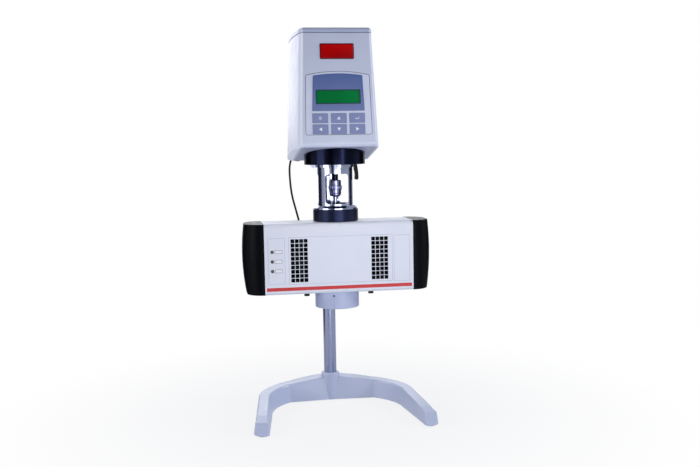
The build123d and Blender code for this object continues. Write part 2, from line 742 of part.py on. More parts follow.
with BuildPart() as spindle_bearings:
    for bearing_z in (flange_low_z + 11.0, chassis_z - 8.0):
        with BuildSketch(axis_plane(bearing_z)):
            Circle(14.0)
            Circle(11.6, mode=Mode.SUBTRACT)
            Circle(8.4)
            Circle(shaft_radius + 0.03, mode=Mode.SUBTRACT)
        extrude(amount=8.0)
        with BuildSketch(axis_plane(bearing_z + 1.0)):
            Circle(11.6)
            Circle(8.4, mode=Mode.SUBTRACT)
        extrude(amount=6.0)
spindle_bearings.part.label = "spindle_bearings"
export_step(spindle_bearings.part, "parts/spindle_bearings.step")

with BuildPart() as motor_housing:
    with BuildSketch(Plane(origin=(0, axis_y, 0), x_dir=(1, 0, 0), z_dir=(0, -1, 0))):
        Polygon(
            (9, motor_low_z), (motor_radius, motor_low_z), (motor_radius, motor_high_z), (7, motor_high_z),
            (7, motor_high_z - 4), (motor_radius - 4, motor_high_z - 4), (motor_radius - 4, motor_low_z + 4),
            (9, motor_low_z + 4), align=None,
        )
    revolve(axis=Axis((0, axis_y, 0), (0, 0, 1)))
motor_housing.part.label = "motor_housing"
export_step(motor_housing.part, "parts/motor_housing.step")

with BuildPart() as motor_stator:
    with BuildSketch(axis_plane(motor_low_z + 14)):
        Circle(motor_radius - 4.0)
        Circle(19.0, mode=Mode.SUBTRACT)
        with PolarLocations(24.0, 9):
            Rectangle(7.0, 3.2, mode=Mode.SUBTRACT)
    extrude(amount=50.0)
motor_stator.part.label = "motor_stator"
export_step(motor_stator.part, "parts/motor_stator.step")

with BuildPart() as motor_rotor:
    with BuildSketch(axis_plane(motor_low_z + 15)):
        Circle(18.4)
        Circle(shaft_radius + 0.02, mode=Mode.SUBTRACT)
    extrude(amount=48.0)
motor_rotor.part.label = "motor_rotor"
export_step(motor_rotor.part, "parts/motor_rotor.step")

with BuildPart() as drive_shaft:
    with Locations(axis_plane(coupling_high_z - 8.0)):
        Cylinder(
            shaft_radius, shaft_top - coupling_high_z + 8.0,
            align=(Align.CENTER, Align.CENTER, Align.MIN),
        )
    chamfer(drive_shaft.edges().filter_by(GeomType.CIRCLE), 0.8)
drive_shaft.part.label = "drive_shaft"
export_step(drive_shaft.part, "parts/drive_shaft.step")

encoder_z = 616.0
with BuildPart() as encoder_disc:
    with BuildSketch(axis_plane(encoder_z)):
        Circle(24.0)
        Circle(shaft_radius + 0.02, mode=Mode.SUBTRACT)
        with PolarLocations(20.5, 24):
            Rectangle(3.0, 1.4, mode=Mode.SUBTRACT)
    extrude(amount=1.5)
    with BuildSketch(axis_plane(encoder_z + 1.5)):
        Circle(10.0)
        Circle(shaft_radius + 0.02, mode=Mode.SUBTRACT)
    extrude(amount=5.0)
encoder_disc.part.label = "encoder_disc"
export_step(encoder_disc.part, "parts/encoder_disc.step")

with BuildPart() as encoder_reader:
    with Locations(axis_plane(motor_high_z, 24, 0)):
        Box(14, 12, 19, align=(Align.CENTER, Align.CENTER, Align.MIN))
    with Locations(axis_plane(encoder_z - 1.5, 20, 0)):
        Box(14, 14, 4.5, align=(Align.CENTER, Align.CENTER, Align.MIN), mode=Mode.SUBTRACT)
encoder_reader.part.label = "encoder_reader"
export_step(encoder_reader.part, "parts/encoder_reader.step")

# ====================================================================================
# Clamp ring, windowed tube, coupling
# ====================================================================================
clamp_ring_low = flange_low_z - 5.2
clamp_ring_high = flange_low_z - 0.3
clamp_ring_radius = 36.4
with BuildPart() as clamp_ring:
    with BuildSketch(axis_plane(clamp_ring_low)):
        Circle(clamp_ring_radius)
        with Locations((-40.0, 0)):
            RectangleRounded(9.0, 9.0, 2.0)
        Circle(tube_radius + 0.06, mode=Mode.SUBTRACT)
    extrude(amount=clamp_ring_high - clamp_ring_low)
clamp_ring.part.label = "clamp_ring"
export_step(clamp_ring.part, "parts/clamp_ring.step")

with BuildPart() as locking_lever:
    with BuildSketch(Plane(origin=(0, axis_y, 0), x_dir=(1, 0, 0), z_dir=(0, -1, 0))):
        with BuildLine():
            Line((34.6, clamp_ring_high), (41.4, clamp_ring_high))
            ThreePointArc((41.4, clamp_ring_high), (43.6, 462.0), (44.0, 449.4))
            ThreePointArc((44.0, 449.4), (40.8, 447.2), (37.2, 449.6))
            ThreePointArc((37.2, 449.6), (37.8, 459.0), (36.0, 467.0))
            Line((36.0, 467.0), (34.6, clamp_ring_high))
        make_face()
    extrude(amount=4.5, both=True)
    fillet(locking_lever.edges().filter_by(Axis.Y), 0.5)
    with Locations(axis_plane(clamp_ring_high)):
        Cylinder(clamp_ring_radius, 30.0, mode=Mode.SUBTRACT)
locking_lever.part.label = "locking_lever"
export_step(locking_lever.part, "parts/locking_lever.step")

with BuildPart() as window_tube:
    with BuildSketch(Plane(origin=(0, axis_y, 0), x_dir=(1, 0, 0), z_dir=(0, -1, 0))):
        Polygon(
            (tube_radius - tube_wall, tube_seat_z), (40.4, tube_seat_z), (40.4, tube_seat_z + 2.2),
            (tube_radius + 2.4, tube_seat_z + 6.4), (tube_radius, tube_seat_z + 6.4),
            (tube_radius, flange_low_z + 7.0), (tube_radius - tube_wall, flange_low_z + 7.0), align=None,
        )
    revolve(axis=Axis((0, axis_y, 0), (0, 0, 1)))
    for direction in (0, 120, 240):
        outward = Vector(0, -1, 0).rotate(Axis.Z, direction)
        window_plane = Plane(
            origin=(0, axis_y, 0), x_dir=Vector(1, 0, 0).rotate(Axis.Z, direction), z_dir=outward
        )
        with BuildSketch(window_plane):
            with Locations((0, (window_low_z + window_high_z) / 2)):
                RectangleRounded(
                    2 * tube_radius * sin(radians(window_angle / 2)), window_high_z - window_low_z, 6.0
                )
        extrude(amount=tube_radius + 5.0, mode=Mode.SUBTRACT)
window_tube.part.label = "window_tube"
export_step(window_tube.part, "parts/window_tube.step")

shank_radius = 4.0
with BuildPart() as coupling_body:
    with BuildSketch(Plane(origin=(0, axis_y, 0), x_dir=(1, 0, 0), z_dir=(0, -1, 0))):
        with BuildLine():
            Polyline(
                (0, coupling_low_z + 14), (shank_radius + 0.02, coupling_low_z + 14),
                (shank_radius + 0.02, coupling_low_z), (coupling_radius - 2.9, coupling_low_z),
                (coupling_radius - 1.9, coupling_low_z + 2.6),
                (coupling_radius, coupling_low_z + 3.4), (coupling_radius, coupling_low_z + 5.2),
                (coupling_radius - 0.8, coupling_low_z + 5.8), (coupling_radius, coupling_low_z + 6.4),
                (coupling_radius, coupling_high_z - 1.2), (coupling_radius - 1.0, coupling_high_z),
                (shaft_radius + 0.02, coupling_high_z), (shaft_radius + 0.02, coupling_high_z - 8),
                (0, coupling_high_z - 8),
                (0, coupling_low_z + 14),
            )
        make_face()
    revolve(axis=Axis((0, axis_y, 0), (0, 0, 1)))
coupling_body.part.label = "coupling_body"
export_step(coupling_body.part, "parts/coupling_body.step")

with BuildPart() as coupling_sleeve:
    with BuildSketch(Plane(origin=(0, axis_y, 0), x_dir=(1, 0, 0), z_dir=(0, -1, 0))):
        with BuildLine():
            Polyline(
                (coupling_radius + 0.03, sleeve_low_z), (coupling_radius + 0.8, sleeve_low_z),
                (coupling_radius + 0.8, sleeve_low_z + 2.0),
                (sleeve_radius, sleeve_low_z + 2.8), (sleeve_radius, sleeve_high_z - 0.8),
                (sleeve_radius - 0.8, sleeve_high_z), (coupling_radius + 0.03, sleeve_high_z),
                (coupling_radius + 0.03, sleeve_low_z),
            )
        make_face()
    revolve(axis=Axis((0, axis_y, 0), (0, 0, 1)))
    with BuildSketch(axis_plane(sleeve_low_z + 3.4)):
        with PolarLocations(sleeve_radius, 36):
            Circle(0.42)
    extrude(amount=sleeve_high_z - sleeve_low_z - 4.8, mode=Mode.SUBTRACT)
coupling_sleeve.part.label = "coupling_sleeve"
export_step(coupling_sleeve.part, "parts/coupling_sleeve.step")

bob_low_z, bob_high_z = 300.0, 340.0
with BuildPart() as measuring_bob:
    with BuildSketch(Plane(origin=(0, axis_y, 0), x_dir=(1, 0, 0), z_dir=(0, -1, 0))):
        Polygon(
            (0, bob_low_z - bob_radius * tan(radians(30))), (bob_radius, bob_low_z), (bob_radius, bob_high_z),
            (shank_radius, bob_high_z + 9), (shank_radius, coupling_low_z + 14), (0, coupling_low_z + 14),
            align=None,
        )
    revolve(axis=Axis((0, axis_y, 0), (0, 0, 1)))
measuring_bob.part.label = "measuring_bob"
export_step(measuring_bob.part, "parts/measuring_bob.step")

with BuildPart() as seat_ring:
    with BuildSketch(Plane(origin=(0, axis_y, 0), x_dir=(1, 0, 0), z_dir=(0, -1, 0))):
        Polygon(
            (cup_bore + cup_wall + 0.1, unit_high_z), (ring_radius - 1.6, unit_high_z),
            (ring_radius - 1.6, unit_high_z + 1.2), (ring_radius, unit_high_z + 1.2),
            (ring_radius, tube_seat_z - 1.0), (ring_radius - 1.0, tube_seat_z), (24.2, tube_seat_z),
            (24.2, tube_seat_z - 6.2), (cup_bore + cup_wall + 0.1, tube_seat_z - 6.2), align=None,
        )
    revolve(axis=Axis((0, axis_y, 0), (0, 0, 1)))
seat_ring.part.label = "seat_ring"
export_step(seat_ring.part, "parts/seat_ring.step")

cup_floor_z = 272.0
with BuildPart() as measuring_cup:
    with BuildSketch(Plane(origin=(0, axis_y, 0), x_dir=(1, 0, 0), z_dir=(0, -1, 0))):
        Polygon(
            (0, cup_floor_z), (cup_bore + cup_wall, cup_floor_z), (cup_bore + cup_wall, tube_seat_z - 6.2),
            (24.0, tube_seat_z - 6.2), (24.0, tube_seat_z), (cup_bore, tube_seat_z),
            (cup_bore, cup_floor_z + 3), (0, cup_floor_z + 3), align=None,
        )
    revolve(axis=Axis((0, axis_y, 0), (0, 0, 1)))
measuring_cup.part.label = "measuring_cup"
export_step(measuring_cup.part, "parts/measuring_cup.step")

# ====================================================================================
# Temperature unit: shells and ends
# ====================================================================================
block_half = 30.0
block_low_z = 252.0
element_thickness = 3.5


def unit_profile(front_edge, rear_edge, inset=0.0):
    """Outline of the unit seen from its end, with a softer rear than front edge."""
    with BuildSketch() as profile:
        Polygon(
            (inset - unit_half_depth, unit_low_z + inset), (unit_half_depth - inset, unit_low_z + inset),
            (unit_half_depth - inset, unit_high_z - inset), (inset - unit_half_depth, unit_high_z - inset),
            align=None,
        )
        top = profile.vertices().group_by(Axis.Y)[-1].sort_by(Axis.X)
        fillet(top[0], front_edge - inset)
        top = profile.vertices().group_by(Axis.Y)[-1].sort_by(Axis.X)
        fillet(top[-1], rear_edge - inset)
        low = profile.vertices().group_by(Axis.Y)[0].sort_by(Axis.X)
        fillet(low[0], 5.0 - inset)
        low = profile.vertices().group_by(Axis.Y)[0].sort_by(Axis.X)
        fillet(low[-1], 5.0 - inset)
    return profile.sketch


def unit_channel():
    """The whole sheet-metal channel of the unit, before it is parted into two shells."""
    with BuildPart() as channel:
        with BuildSketch(side_plane(-unit_half_width)):
            add(unit_profile(7.0, 14.0))
            add(unit_profile(7.0, 14.0, unit_wall), mode=Mode.SUBTRACT)
        extrude(amount=2 * unit_half_width)
        with Locations(axis_plane(unit_high_z)):
            Cylinder(cup_bore + cup_wall + 4.0, 12.0, mode=Mode.SUBTRACT)
        with Locations(axis_plane(unit_low_z)):
            Cylinder(31.0, 12.0, mode=Mode.SUBTRACT)
    return channel.part


led_x = -124.0
led_heights = (321.0, 303.3, 285.8)
with BuildPart() as unit_front_shell:
    add(unit_channel())
    split(bisect_by=Plane(origin=(0, axis_y, 0), z_dir=(0, -1, 0)), keep=Keep.TOP)
    with BuildSketch(front_plane(-unit_half_depth)):
        for side in (-1, 1):
            with Locations((side * vent_x, vent_z)):
                with GridLocations(vent_pitch, vent_pitch, 4, 10):
                    Rectangle(vent_hole, vent_hole)
        for led_z in led_heights:
            with Locations((led_x, led_z)):
                Circle(2.1)
    extrude(amount=-2 * unit_wall, mode=Mode.SUBTRACT)
unit_front_shell.part.label = "unit_front_shell"
export_step(unit_front_shell.part, "parts/unit_front_shell.step")

with BuildPart() as unit_rear_shell:
    add(unit_channel())
    split(bisect_by=Plane(origin=(0, axis_y, 0), z_dir=(0, 1, 0)), keep=Keep.TOP)
    with BuildSketch(back_plane(unit_half_depth)):
        with Locations((0, 318)):
            with GridLocations(1, 9.0, 1, 6):
                SlotOverall(56, 4.5)
        with Locations((-unit_inlet_x, unit_inlet_z)):
            Rectangle(27.4, 20.0)
        with Locations((-unit_inlet_x, unit_inlet_z + switch_rise)):
            Rectangle(20.0, 13.4)
        with Locations((-unit_socket_x, unit_socket_z)):
            Circle(4.5)
    extrude(amount=-2 * unit_wall, mode=Mode.SUBTRACT)
unit_rear_shell.part.label = "unit_rear_shell"
export_step(unit_rear_shell.part, "parts/unit_rear_shell.step")


def end_cap_section(z, reach, side):
    """Plan outline of a rounded end cap at one height."""
    bend = reach - 2.0
    flat = unit_half_depth - bend
    inner_x = side * unit_half_width
    start_x = side * (unit_half_width + 2.0)
    outer_x = side * (unit_half_width + reach)
    bend_x = side * (unit_half_width + 2.0 + bend * sin(radians(45)))
    bend_y = flat + bend * cos(radians(45))
    with BuildSketch(axis_plane(z)) as section:
        with BuildLine():
            Line((inner_x, 0), (inner_x, unit_half_depth))
            Line((inner_x, unit_half_depth), (start_x, unit_half_depth))
            ThreePointArc((start_x, unit_half_depth), (bend_x, bend_y), (outer_x, flat))
            Line((outer_x, flat), (outer_x, 0))
            mirror(about=Plane.XZ)
        make_face()
    return section.sketch


def make_end_cap(side):
    """Barrel-shaped cap closing one end of the unit."""
    with BuildPart() as end_cap:
        loft(
            sections=[
                end_cap_section(unit_low_z, 31.5, side),
                end_cap_section(308.0, cap_reach - unit_half_width, side),
                end_cap_section(unit_high_z, 34.0, side),
            ]
        )
        rims = end_cap.faces().filter_by(Axis.Z).edges()
        fillet(rims.filter_by(lambda edge: abs(edge.center().X) > unit_half_width + 0.5), 2.0)
    return end_cap.part


with BuildPart() as end_caps:
    add(make_end_cap(-1))
    add(make_end_cap(1))
end_caps.part.label = "end_caps"
export_step(end_caps.part, "parts/end_caps.step")

with BuildPart() as bottom_cap:
    with Locations(axis_plane(bottom_cap_low_z)):
        Cylinder(
            bottom_cap_radius, unit_low_z - bottom_cap_low_z,
            align=(Align.CENTER, Align.CENTER, Align.MIN),
        )
    fillet(bottom_cap.faces().sort_by(Axis.Z)[0].edges(), 1.5)
    with Locations(axis_plane(unit_low_z)):
        Cylinder(26.0, block_low_z - unit_low_z, align=(Align.CENTER, Align.CENTER, Align.MIN))
    with BuildSketch(lock_screw_plane):
        Circle(lock_screw_radius)
    extrude(amount=bottom_cap_radius + 5.0, mode=Mode.SUBTRACT)
bottom_cap.part.label = "bottom_cap"
export_step(bottom_cap.part, "parts/bottom_cap.step")

with BuildPart() as status_lights:
    for led_z in led_heights:
        with BuildSketch(front_plane(-unit_half_depth + 6.0, led_x, led_z)):
            Circle(2.0)
        extrude(amount=6.6)
status_lights.part.label = "status_lights"
export_step(status_lights.part, "parts/status_lights.step")

# ====================================================================================
# Temperature unit: cup block, elements, heat sinks, fans
# ====================================================================================
with BuildPart() as cup_block:
    with Locations(axis_plane(block_low_z)):
        Box(
            2 * block_half, 2 * block_half, unit_high_z - unit_wall - block_low_z,
            align=(Align.CENTER, Align.CENTER, Align.MIN),
        )
    chamfer(cup_block.edges().filter_by(Axis.Z), 3.0)
    with Locations(axis_plane(cup_floor_z - 0.5)):
        Cylinder(
            cup_bore + cup_wall + 0.03, 120.0,
            align=(Align.CENTER, Align.CENTER, Align.MIN), mode=Mode.SUBTRACT,
        )
cup_block.part.label = "cup_block"
export_step(cup_block.part, "parts/cup_block.step")

with BuildPart() as peltier_elements:
    for side in (-1, 1):
        for element_z in (282.0, 326.0):
            with Locations(axis_plane(element_z, side * (block_half + element_thickness / 2))):
                Box(element_thickness, 40, 40)
peltier_elements.part.label = "peltier_elements"
export_step(peltier_elements.part, "parts/peltier_elements.step")

sink_root = block_half + element_thickness
sink_reach = 92.0
with BuildPart() as heat_sinks:
    for side in (-1, 1):
        with Locations(axis_plane(vent_z, side * (sink_root + 3.0), 12.5)):
            Box(6.0, 50.0, 90.0)
        with Locations(axis_plane(vent_z, side * (sink_root + 6.0 + sink_reach) / 2, 12.5)):
            for fin in range(-7, 8):
                with Locations((0, 0, fin * 6.2)):
                    Box(sink_reach - sink_root - 6.0, 50.0, 1.6)
heat_sinks.part.label = "heat_sinks"
export_step(heat_sinks.part, "parts/heat_sinks.step")


def make_fan_frame(x):
    """Square frame of an axial fan, its hub carried by four struts at the rear."""
    with BuildPart() as frame:
        with BuildSketch(front_plane(fan_front_y + fan_depth, x, vent_z)):
            RectangleRounded(fan_size, fan_size, 4.0)
            Circle(38.0, mode=Mode.SUBTRACT)
            with GridLocations(71.5, 71.5, 2, 2):
                Circle(2.2, mode=Mode.SUBTRACT)
        extrude(amount=fan_depth)
        with BuildSketch(front_plane(fan_front_y + fan_depth, x, vent_z)):
            Circle(15.0)
            Rectangle(77, 3.0)
            Rectangle(3.0, 77)
            Circle(1.6, mode=Mode.SUBTRACT)
        extrude(amount=2.5)
    return frame.part


def make_fan_rotor(x):
    """Hub, axle and seven pitched blades of an axial fan."""
    with BuildPart() as rotor:
        with BuildSketch(front_plane(fan_front_y + 21.5, x, vent_z)):
            Circle(15.5)
        extrude(amount=20.0)
        with BuildSketch(front_plane(fan_front_y + 24.0, x, vent_z)):
            Circle(1.55)
        extrude(amount=5.0)
        for blade in range(7):
            outward = Vector(1, 0, 0).rotate(Axis.Y, blade * 360 / 7)
            blade_plane = Plane(
                origin=(x, axis_y + fan_front_y + 11.0, vent_z), x_dir=(0, 1, 0), z_dir=outward
            )
            with BuildSketch(blade_plane.offset(14.5)):
                Rectangle(1.4, 19.0, rotation=38)
            with BuildSketch(blade_plane.offset(36.0)):
                Rectangle(1.0, 24.0, rotation=52)
            loft(ruled=True)
    return rotor.part


with BuildPart() as fan_frames:
    add(make_fan_frame(-vent_x))
    add(make_fan_frame(vent_x))
fan_frames.part.label = "fan_frames"
export_step(fan_frames.part, "parts/fan_frames.step")

for side, rotor_name in ((-1, "left_fan_rotor"), (1, "right_fan_rotor")):
    fan_rotor = make_fan_rotor(side * vent_x)
    fan_rotor.label = rotor_name
    export_step(fan_rotor, f"parts/{rotor_name}.step")

# ====================================================================================
# Sensor cable with its sockets and plugs
# ====================================================================================
with BuildPart() as cable_sockets:
    for socket_y, socket_x, socket_z, depth in (
        (head_rear_y, sensor_x, sensor_z, 12.0), (unit_half_depth, unit_socket_x, unit_socket_z, 6.0)
    ):
        with BuildSketch(back_plane(socket_y)):
            with Locations((-socket_x, socket_z)):
                Circle(7.0)
        extrude(amount=2.0)
        with BuildSketch(back_plane(socket_y)):
            with Locations((-socket_x, socket_z)):
                Circle(4.4)
        extrude(amount=-depth)
cable_sockets.part.label = "cable_sockets"
export_step(cable_sockets.part, "parts/cable_sockets.step")

cable_start = Vector(*cable_route[0])
cable_leave = (Vector(*cable_route[1]) - cable_start).normalized()
cable_end_y = cable_route[-1][1]
barrel_plane = Plane(origin=cable_start + Vector(0, axis_y, 0), z_dir=cable_leave)
with BuildPart() as cable_plugs:
    with BuildSketch(back_plane(head_rear_y + 2.0)):
        with Locations((-sensor_x, sensor_z)):
            Circle(6.5)
    extrude(amount=rear_limit - head_rear_y - 2.0)
    fillet(cable_plugs.faces().sort_by(Axis.Y)[-1].edges(), 2.0)
    with BuildSketch(barrel_plane):
        Circle(3.6)
    with BuildSketch(barrel_plane.offset(-20.0)):
        Circle(5.6)
    loft()
    with BuildSketch(back_plane(unit_half_depth + 2.0)):
        with Locations((-unit_socket_x, unit_socket_z)):
            Circle(6.5)
    with BuildSketch(back_plane(cable_end_y)):
        with Locations((-unit_socket_x, unit_socket_z)):
            Circle(3.6)
    loft()
cable_plugs.part.label = "cable_plugs"
export_step(cable_plugs.part, "parts/cable_plugs.step")


def bend_radii(points):
    """Radius of each bend: as wide as the shorter of the two runs beside it allows."""
    radii = []
    for before, here, after in zip(points, points[1:], points[2:]):
        turn = radians((here - before).get_angle(after - here))
        run = min((here - before).length, (after - here).length)
        radii.append(0.45 * run / tan(turn / 2))
    return radii


cable_points = [Vector(x, axis_y + y, z) for x, y, z in cable_route]
cable_radii = bend_radii(cable_points)
with BuildPart() as sensor_cable:
    with BuildLine() as cable_line:
        FilletPolyline(*cable_points, radius=cable_radii)
    with BuildSketch(Plane(origin=cable_line.line @ 0, z_dir=cable_line.line % 0)):
        Circle(cable_radius)
    sweep()
sensor_cable.part.label = "sensor_cable"
export_step(sensor_cable.part, "parts/sensor_cable.step")
print("cable radii (mm):", [round(radius, 1) for radius in cable_radii])
print("cable length (mm):", round(sum(edge.length for edge in cable_line.line.edges()), 1))
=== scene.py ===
"""Studio scene of the bench rotational viscometer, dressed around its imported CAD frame.

Units are metres in the frame's own axes: +Z up, the display faces -Y.
"""
import json
import math

import bmesh
import bpy
from mathutils import Matrix, Vector


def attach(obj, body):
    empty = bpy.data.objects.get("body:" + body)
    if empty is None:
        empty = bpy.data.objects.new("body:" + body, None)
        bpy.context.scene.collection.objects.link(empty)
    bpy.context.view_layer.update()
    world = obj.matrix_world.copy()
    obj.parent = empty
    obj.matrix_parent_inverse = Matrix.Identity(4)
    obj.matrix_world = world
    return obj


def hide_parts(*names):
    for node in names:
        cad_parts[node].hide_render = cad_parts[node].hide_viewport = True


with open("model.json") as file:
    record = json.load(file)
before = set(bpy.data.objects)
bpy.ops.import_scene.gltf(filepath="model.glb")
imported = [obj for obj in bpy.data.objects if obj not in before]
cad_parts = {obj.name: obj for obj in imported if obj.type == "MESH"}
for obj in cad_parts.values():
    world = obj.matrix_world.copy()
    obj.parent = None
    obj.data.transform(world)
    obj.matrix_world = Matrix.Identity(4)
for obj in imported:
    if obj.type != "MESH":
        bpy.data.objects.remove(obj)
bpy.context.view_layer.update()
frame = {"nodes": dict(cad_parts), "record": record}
NODES = frame["nodes"]
MM = 0.001

# ---- places taken over from the part -------------------------------------------------
AXIS_Y = -24.5 * MM              # vertical measuring axis
FACE_LOW_Y, FACE_TOP_Y = -68.3 * MM, -52.2 * MM      # front of the head, from the axis
FACE_LOW_Z, FACE_TOP_Z = 509.5 * MM, 712.0 * MM
LEAN = math.atan2(FACE_TOP_Y - FACE_LOW_Y, FACE_TOP_Z - FACE_LOW_Z)
FACE = Matrix.Translation((0, AXIS_Y + FACE_LOW_Y, FACE_LOW_Z)) @ Matrix.Rotation(
    math.pi / 2 - LEAN, 4, "X"
)                                # x across, y up the leaning face, z out of it


WINDOW_LOW, WINDOW_HIGH = 158.0, 183.0      # red window, in mm up the leaning face
LABEL_LOW, LABEL_HIGH = 64.0, 127.4         # blue label, the same way
UNIT_FACE_Y = -44.6 * MM         # front of the temperature unit, from the axis
UNIT_MIDDLE_Z = 306.6 * MM


def on_face(rise):
    """Height of a place so many millimetres up the leaning front face."""
    return FACE_LOW_Z + rise * MM * math.cos(LEAN)


# ---- camera --------------------------------------------------------------------------
PHOTO_WIDTH = 700.0
CAMERA_FOCAL = 954.07            # pixels
CAMERA_PLACE = Vector((-251.65 * MM, -1765.0 * MM + AXIS_Y, 520.23 * MM))
CAMERA_YAW, CAMERA_PITCH, CAMERA_ROLL = 0.15642, 0.0971, -0.0177


def make_camera():
    """The camera that sees the object as the photograph does."""
    ahead = Vector((
        math.sin(CAMERA_YAW) * math.cos(CAMERA_PITCH),
        math.cos(CAMERA_YAW) * math.cos(CAMERA_PITCH),
        -math.sin(CAMERA_PITCH),
    ))
    right = Vector((math.cos(CAMERA_YAW), -math.sin(CAMERA_YAW), 0))
    up = right.cross(ahead)
    across = math.cos(CAMERA_ROLL) * right + math.sin(CAMERA_ROLL) * up
    above = -math.sin(CAMERA_ROLL) * right + math.cos(CAMERA_ROLL) * up
    data = bpy.data.cameras.new("camera")
    data.sensor_width = 36.0
    data.lens = CAMERA_FOCAL / PHOTO_WIDTH * data.sensor_width
    data.clip_start, data.clip_end = 0.05, 50.0
    camera = bpy.data.objects.new("camera", data)
    turn = Matrix((across, above, -ahead)).transposed().to_4x4()
    camera.matrix_world = Matrix.Translation(CAMERA_PLACE) @ turn
    bpy.context.collection.objects.link(camera)
    bpy.context.scene.camera = camera


# ---- the sensor cable ----------------------------------------------------------------
CABLE_DIAMETER = 4.0 * MM
CABLE_ROUTE = [                  # x, y from the measuring axis, z
    (-65.5, 160.5, 484.3),
    (-69.4, 160.5, 473.6),
    (-69.4, 160.0, 449.0),
    (-67.5, 150.0, 415.0),
    (-62.5, 121.0, 386.0),
    (-58.5, 101.0, 364.0),
    (-56.0, 91.0, 342.0),
    (-55.0, 93.0, 317.0),
    (-55.0, 86.0, 296.0),
    (-55.0, 66.0, 296.0),
]


def make_cable(materials):
    """Free cable between the head's plug and the temperature unit's plug."""
    data = bpy.data.curves.new("sensor_lead", "CURVE")
    data.dimensions = "3D"
    data.bevel_depth = CABLE_DIAMETER / 2
    data.bevel_resolution = 6
    data.resolution_u = 16
    spline = data.splines.new("NURBS")
    spline.points.add(len(CABLE_ROUTE) - 1)
    for point, (x, y, z) in zip(spline.points, CABLE_ROUTE):
        point.co = (x * MM, y * MM + AXIS_Y, z * MM, 1.0)
    spline.order_u = 3
    spline.use_endpoint_u = True
    cable = bpy.data.objects.new("sensor_lead", data)
    bpy.context.collection.objects.link(cable)
    data.materials.append(materials["cable_black"])
    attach(cable, "frame")
    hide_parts("sensor_cable")


# ---- materials -----------------------------------------------------------------------
def linear(red, green, blue):
    """Scene-linear colour of an 8-bit display colour."""
    def channel(value):
        value /= 255.0
        return value / 12.92 if value <= 0.04045 else ((value + 0.055) / 1.055) ** 2.4
    return (channel(red), channel(green), channel(blue), 1.0)


NOISE_SPAN = (0.3, 0.7)          # where nearly all values of a noise texture lie


class Shader:
    """A principled material whose nodes are added step by step."""

    def __init__(self, name, color, roughness, metallic=0.0):
        self.material = bpy.data.materials.new(name)
        self.material.use_nodes = True
        self.tree = self.material.node_tree
        self.shader = self.tree.nodes["Principled BSDF"]
        self.shader.inputs["Base Color"].default_value = color
        self.shader.inputs["Roughness"].default_value = roughness
        self.shader.inputs["Metallic"].default_value = metallic
        self.color = color
        self.coords = self.tree.nodes.new("ShaderNodeTexCoord").outputs["Object"]
        self.height = None

    def node(self, kind, **inputs):
        """Add a node; each input is a socket to link or a plain value."""
        made = self.tree.nodes.new(kind)
        for key, value in inputs.items():
            socket = made.inputs[key.replace("_", " ")]
            if isinstance(value, bpy.types.NodeSocket):
                self.tree.links.new(value, socket)
            else:
                socket.default_value = value
        return made

    def stretched(self, scale):
        """The object's own coordinates, scaled along its axes."""
        mapping = self.node("ShaderNodeMapping", Vector=self.coords)
        mapping.inputs["Scale"].default_value = scale
        return mapping.outputs["Vector"]

    def noise(self, scale, detail=3.0, stretch=(1, 1, 1)):
        """Value of a noise texture laid out in the object's coordinates."""
        return self.node(
            "ShaderNodeTexNoise", Vector=self.stretched(stretch), Scale=scale, Detail=detail
        ).outputs["Fac"]

    def ramp(self, factor, low, high, start=0.0, end=1.0):
        """Map start to low and end to high, held at both ends."""
        made = self.node("ShaderNodeMapRange", Value=factor)
        made.inputs["From Min"].default_value = start
        made.inputs["From Max"].default_value = end
        made.inputs["To Min"].default_value = low
        made.inputs["To Max"].default_value = high
        return made.outputs["Result"]

    def tint(self, factor, other, amount):
        """Blend the base colour towards another by factor times amount."""
        mix = self.tree.nodes.new("ShaderNodeMix")
        mix.data_type = "RGBA"
        base = self.shader.inputs["Base Color"]
        if base.is_linked:
            self.tree.links.new(base.links[0].from_socket, mix.inputs[6])
        else:
            mix.inputs[6].default_value = self.color
        mix.inputs[7].default_value = other
        self.tree.links.new(self.ramp(factor, 0.0, amount, *NOISE_SPAN), mix.inputs[0])
        self.tree.links.new(mix.outputs[2], base)
        return self

    def grade(self, other, start, end):
        """Turn the base colour into another one between two heights: painted light and shade that
        run with height.
        """
        height = self.node("ShaderNodeSeparateXYZ", Vector=self.coords).outputs["Z"]
        return self.tint(self.ramp(height, *NOISE_SPAN, start, end), other, 1.0)

    def vary_roughness(self, factor, low, high):
        """Let the roughness run from low to high over the noise."""
        rough = self.ramp(factor, low, high, *NOISE_SPAN)
        self.tree.links.new(rough, self.shader.inputs["Roughness"])
        return self

    def bump(self, factor, distance, strength=1.0):
        """Raise the surface by the factor, on top of any earlier bump."""
        made = self.node("ShaderNodeBump", Height=factor, Strength=strength, Distance=distance)
        if self.height is not None:
            self.tree.links.new(self.height, made.inputs["Normal"])
        self.height = made.outputs["Normal"]
        self.tree.links.new(self.height, self.shader.inputs["Normal"])
        return self


def darker(color, share):
    """The same colour at a share of its brightness."""
    return tuple(c * share for c in color[:3]) + (1.0,)


def paint(name, color, roughness=0.42, peel=0.00004, grain=700.0, coat=0.0):
    """Sprayed powder paint: orange peel, faint clouding and uneven gloss."""
    made = Shader(name, color, roughness)
    made.tint(made.noise(14.0, 4.0), darker(color, 0.93), 0.7)
    made.tint(made.noise(2600.0, 2.0), darker(color, 0.9), 0.35)
    made.vary_roughness(made.noise(60.0), roughness - 0.05, roughness + 0.07)
    made.bump(made.noise(grain, 2.0), peel)
    made.shader.inputs["Coat Weight"].default_value = coat
    made.shader.inputs["Coat Roughness"].default_value = 0.25
    return made.material


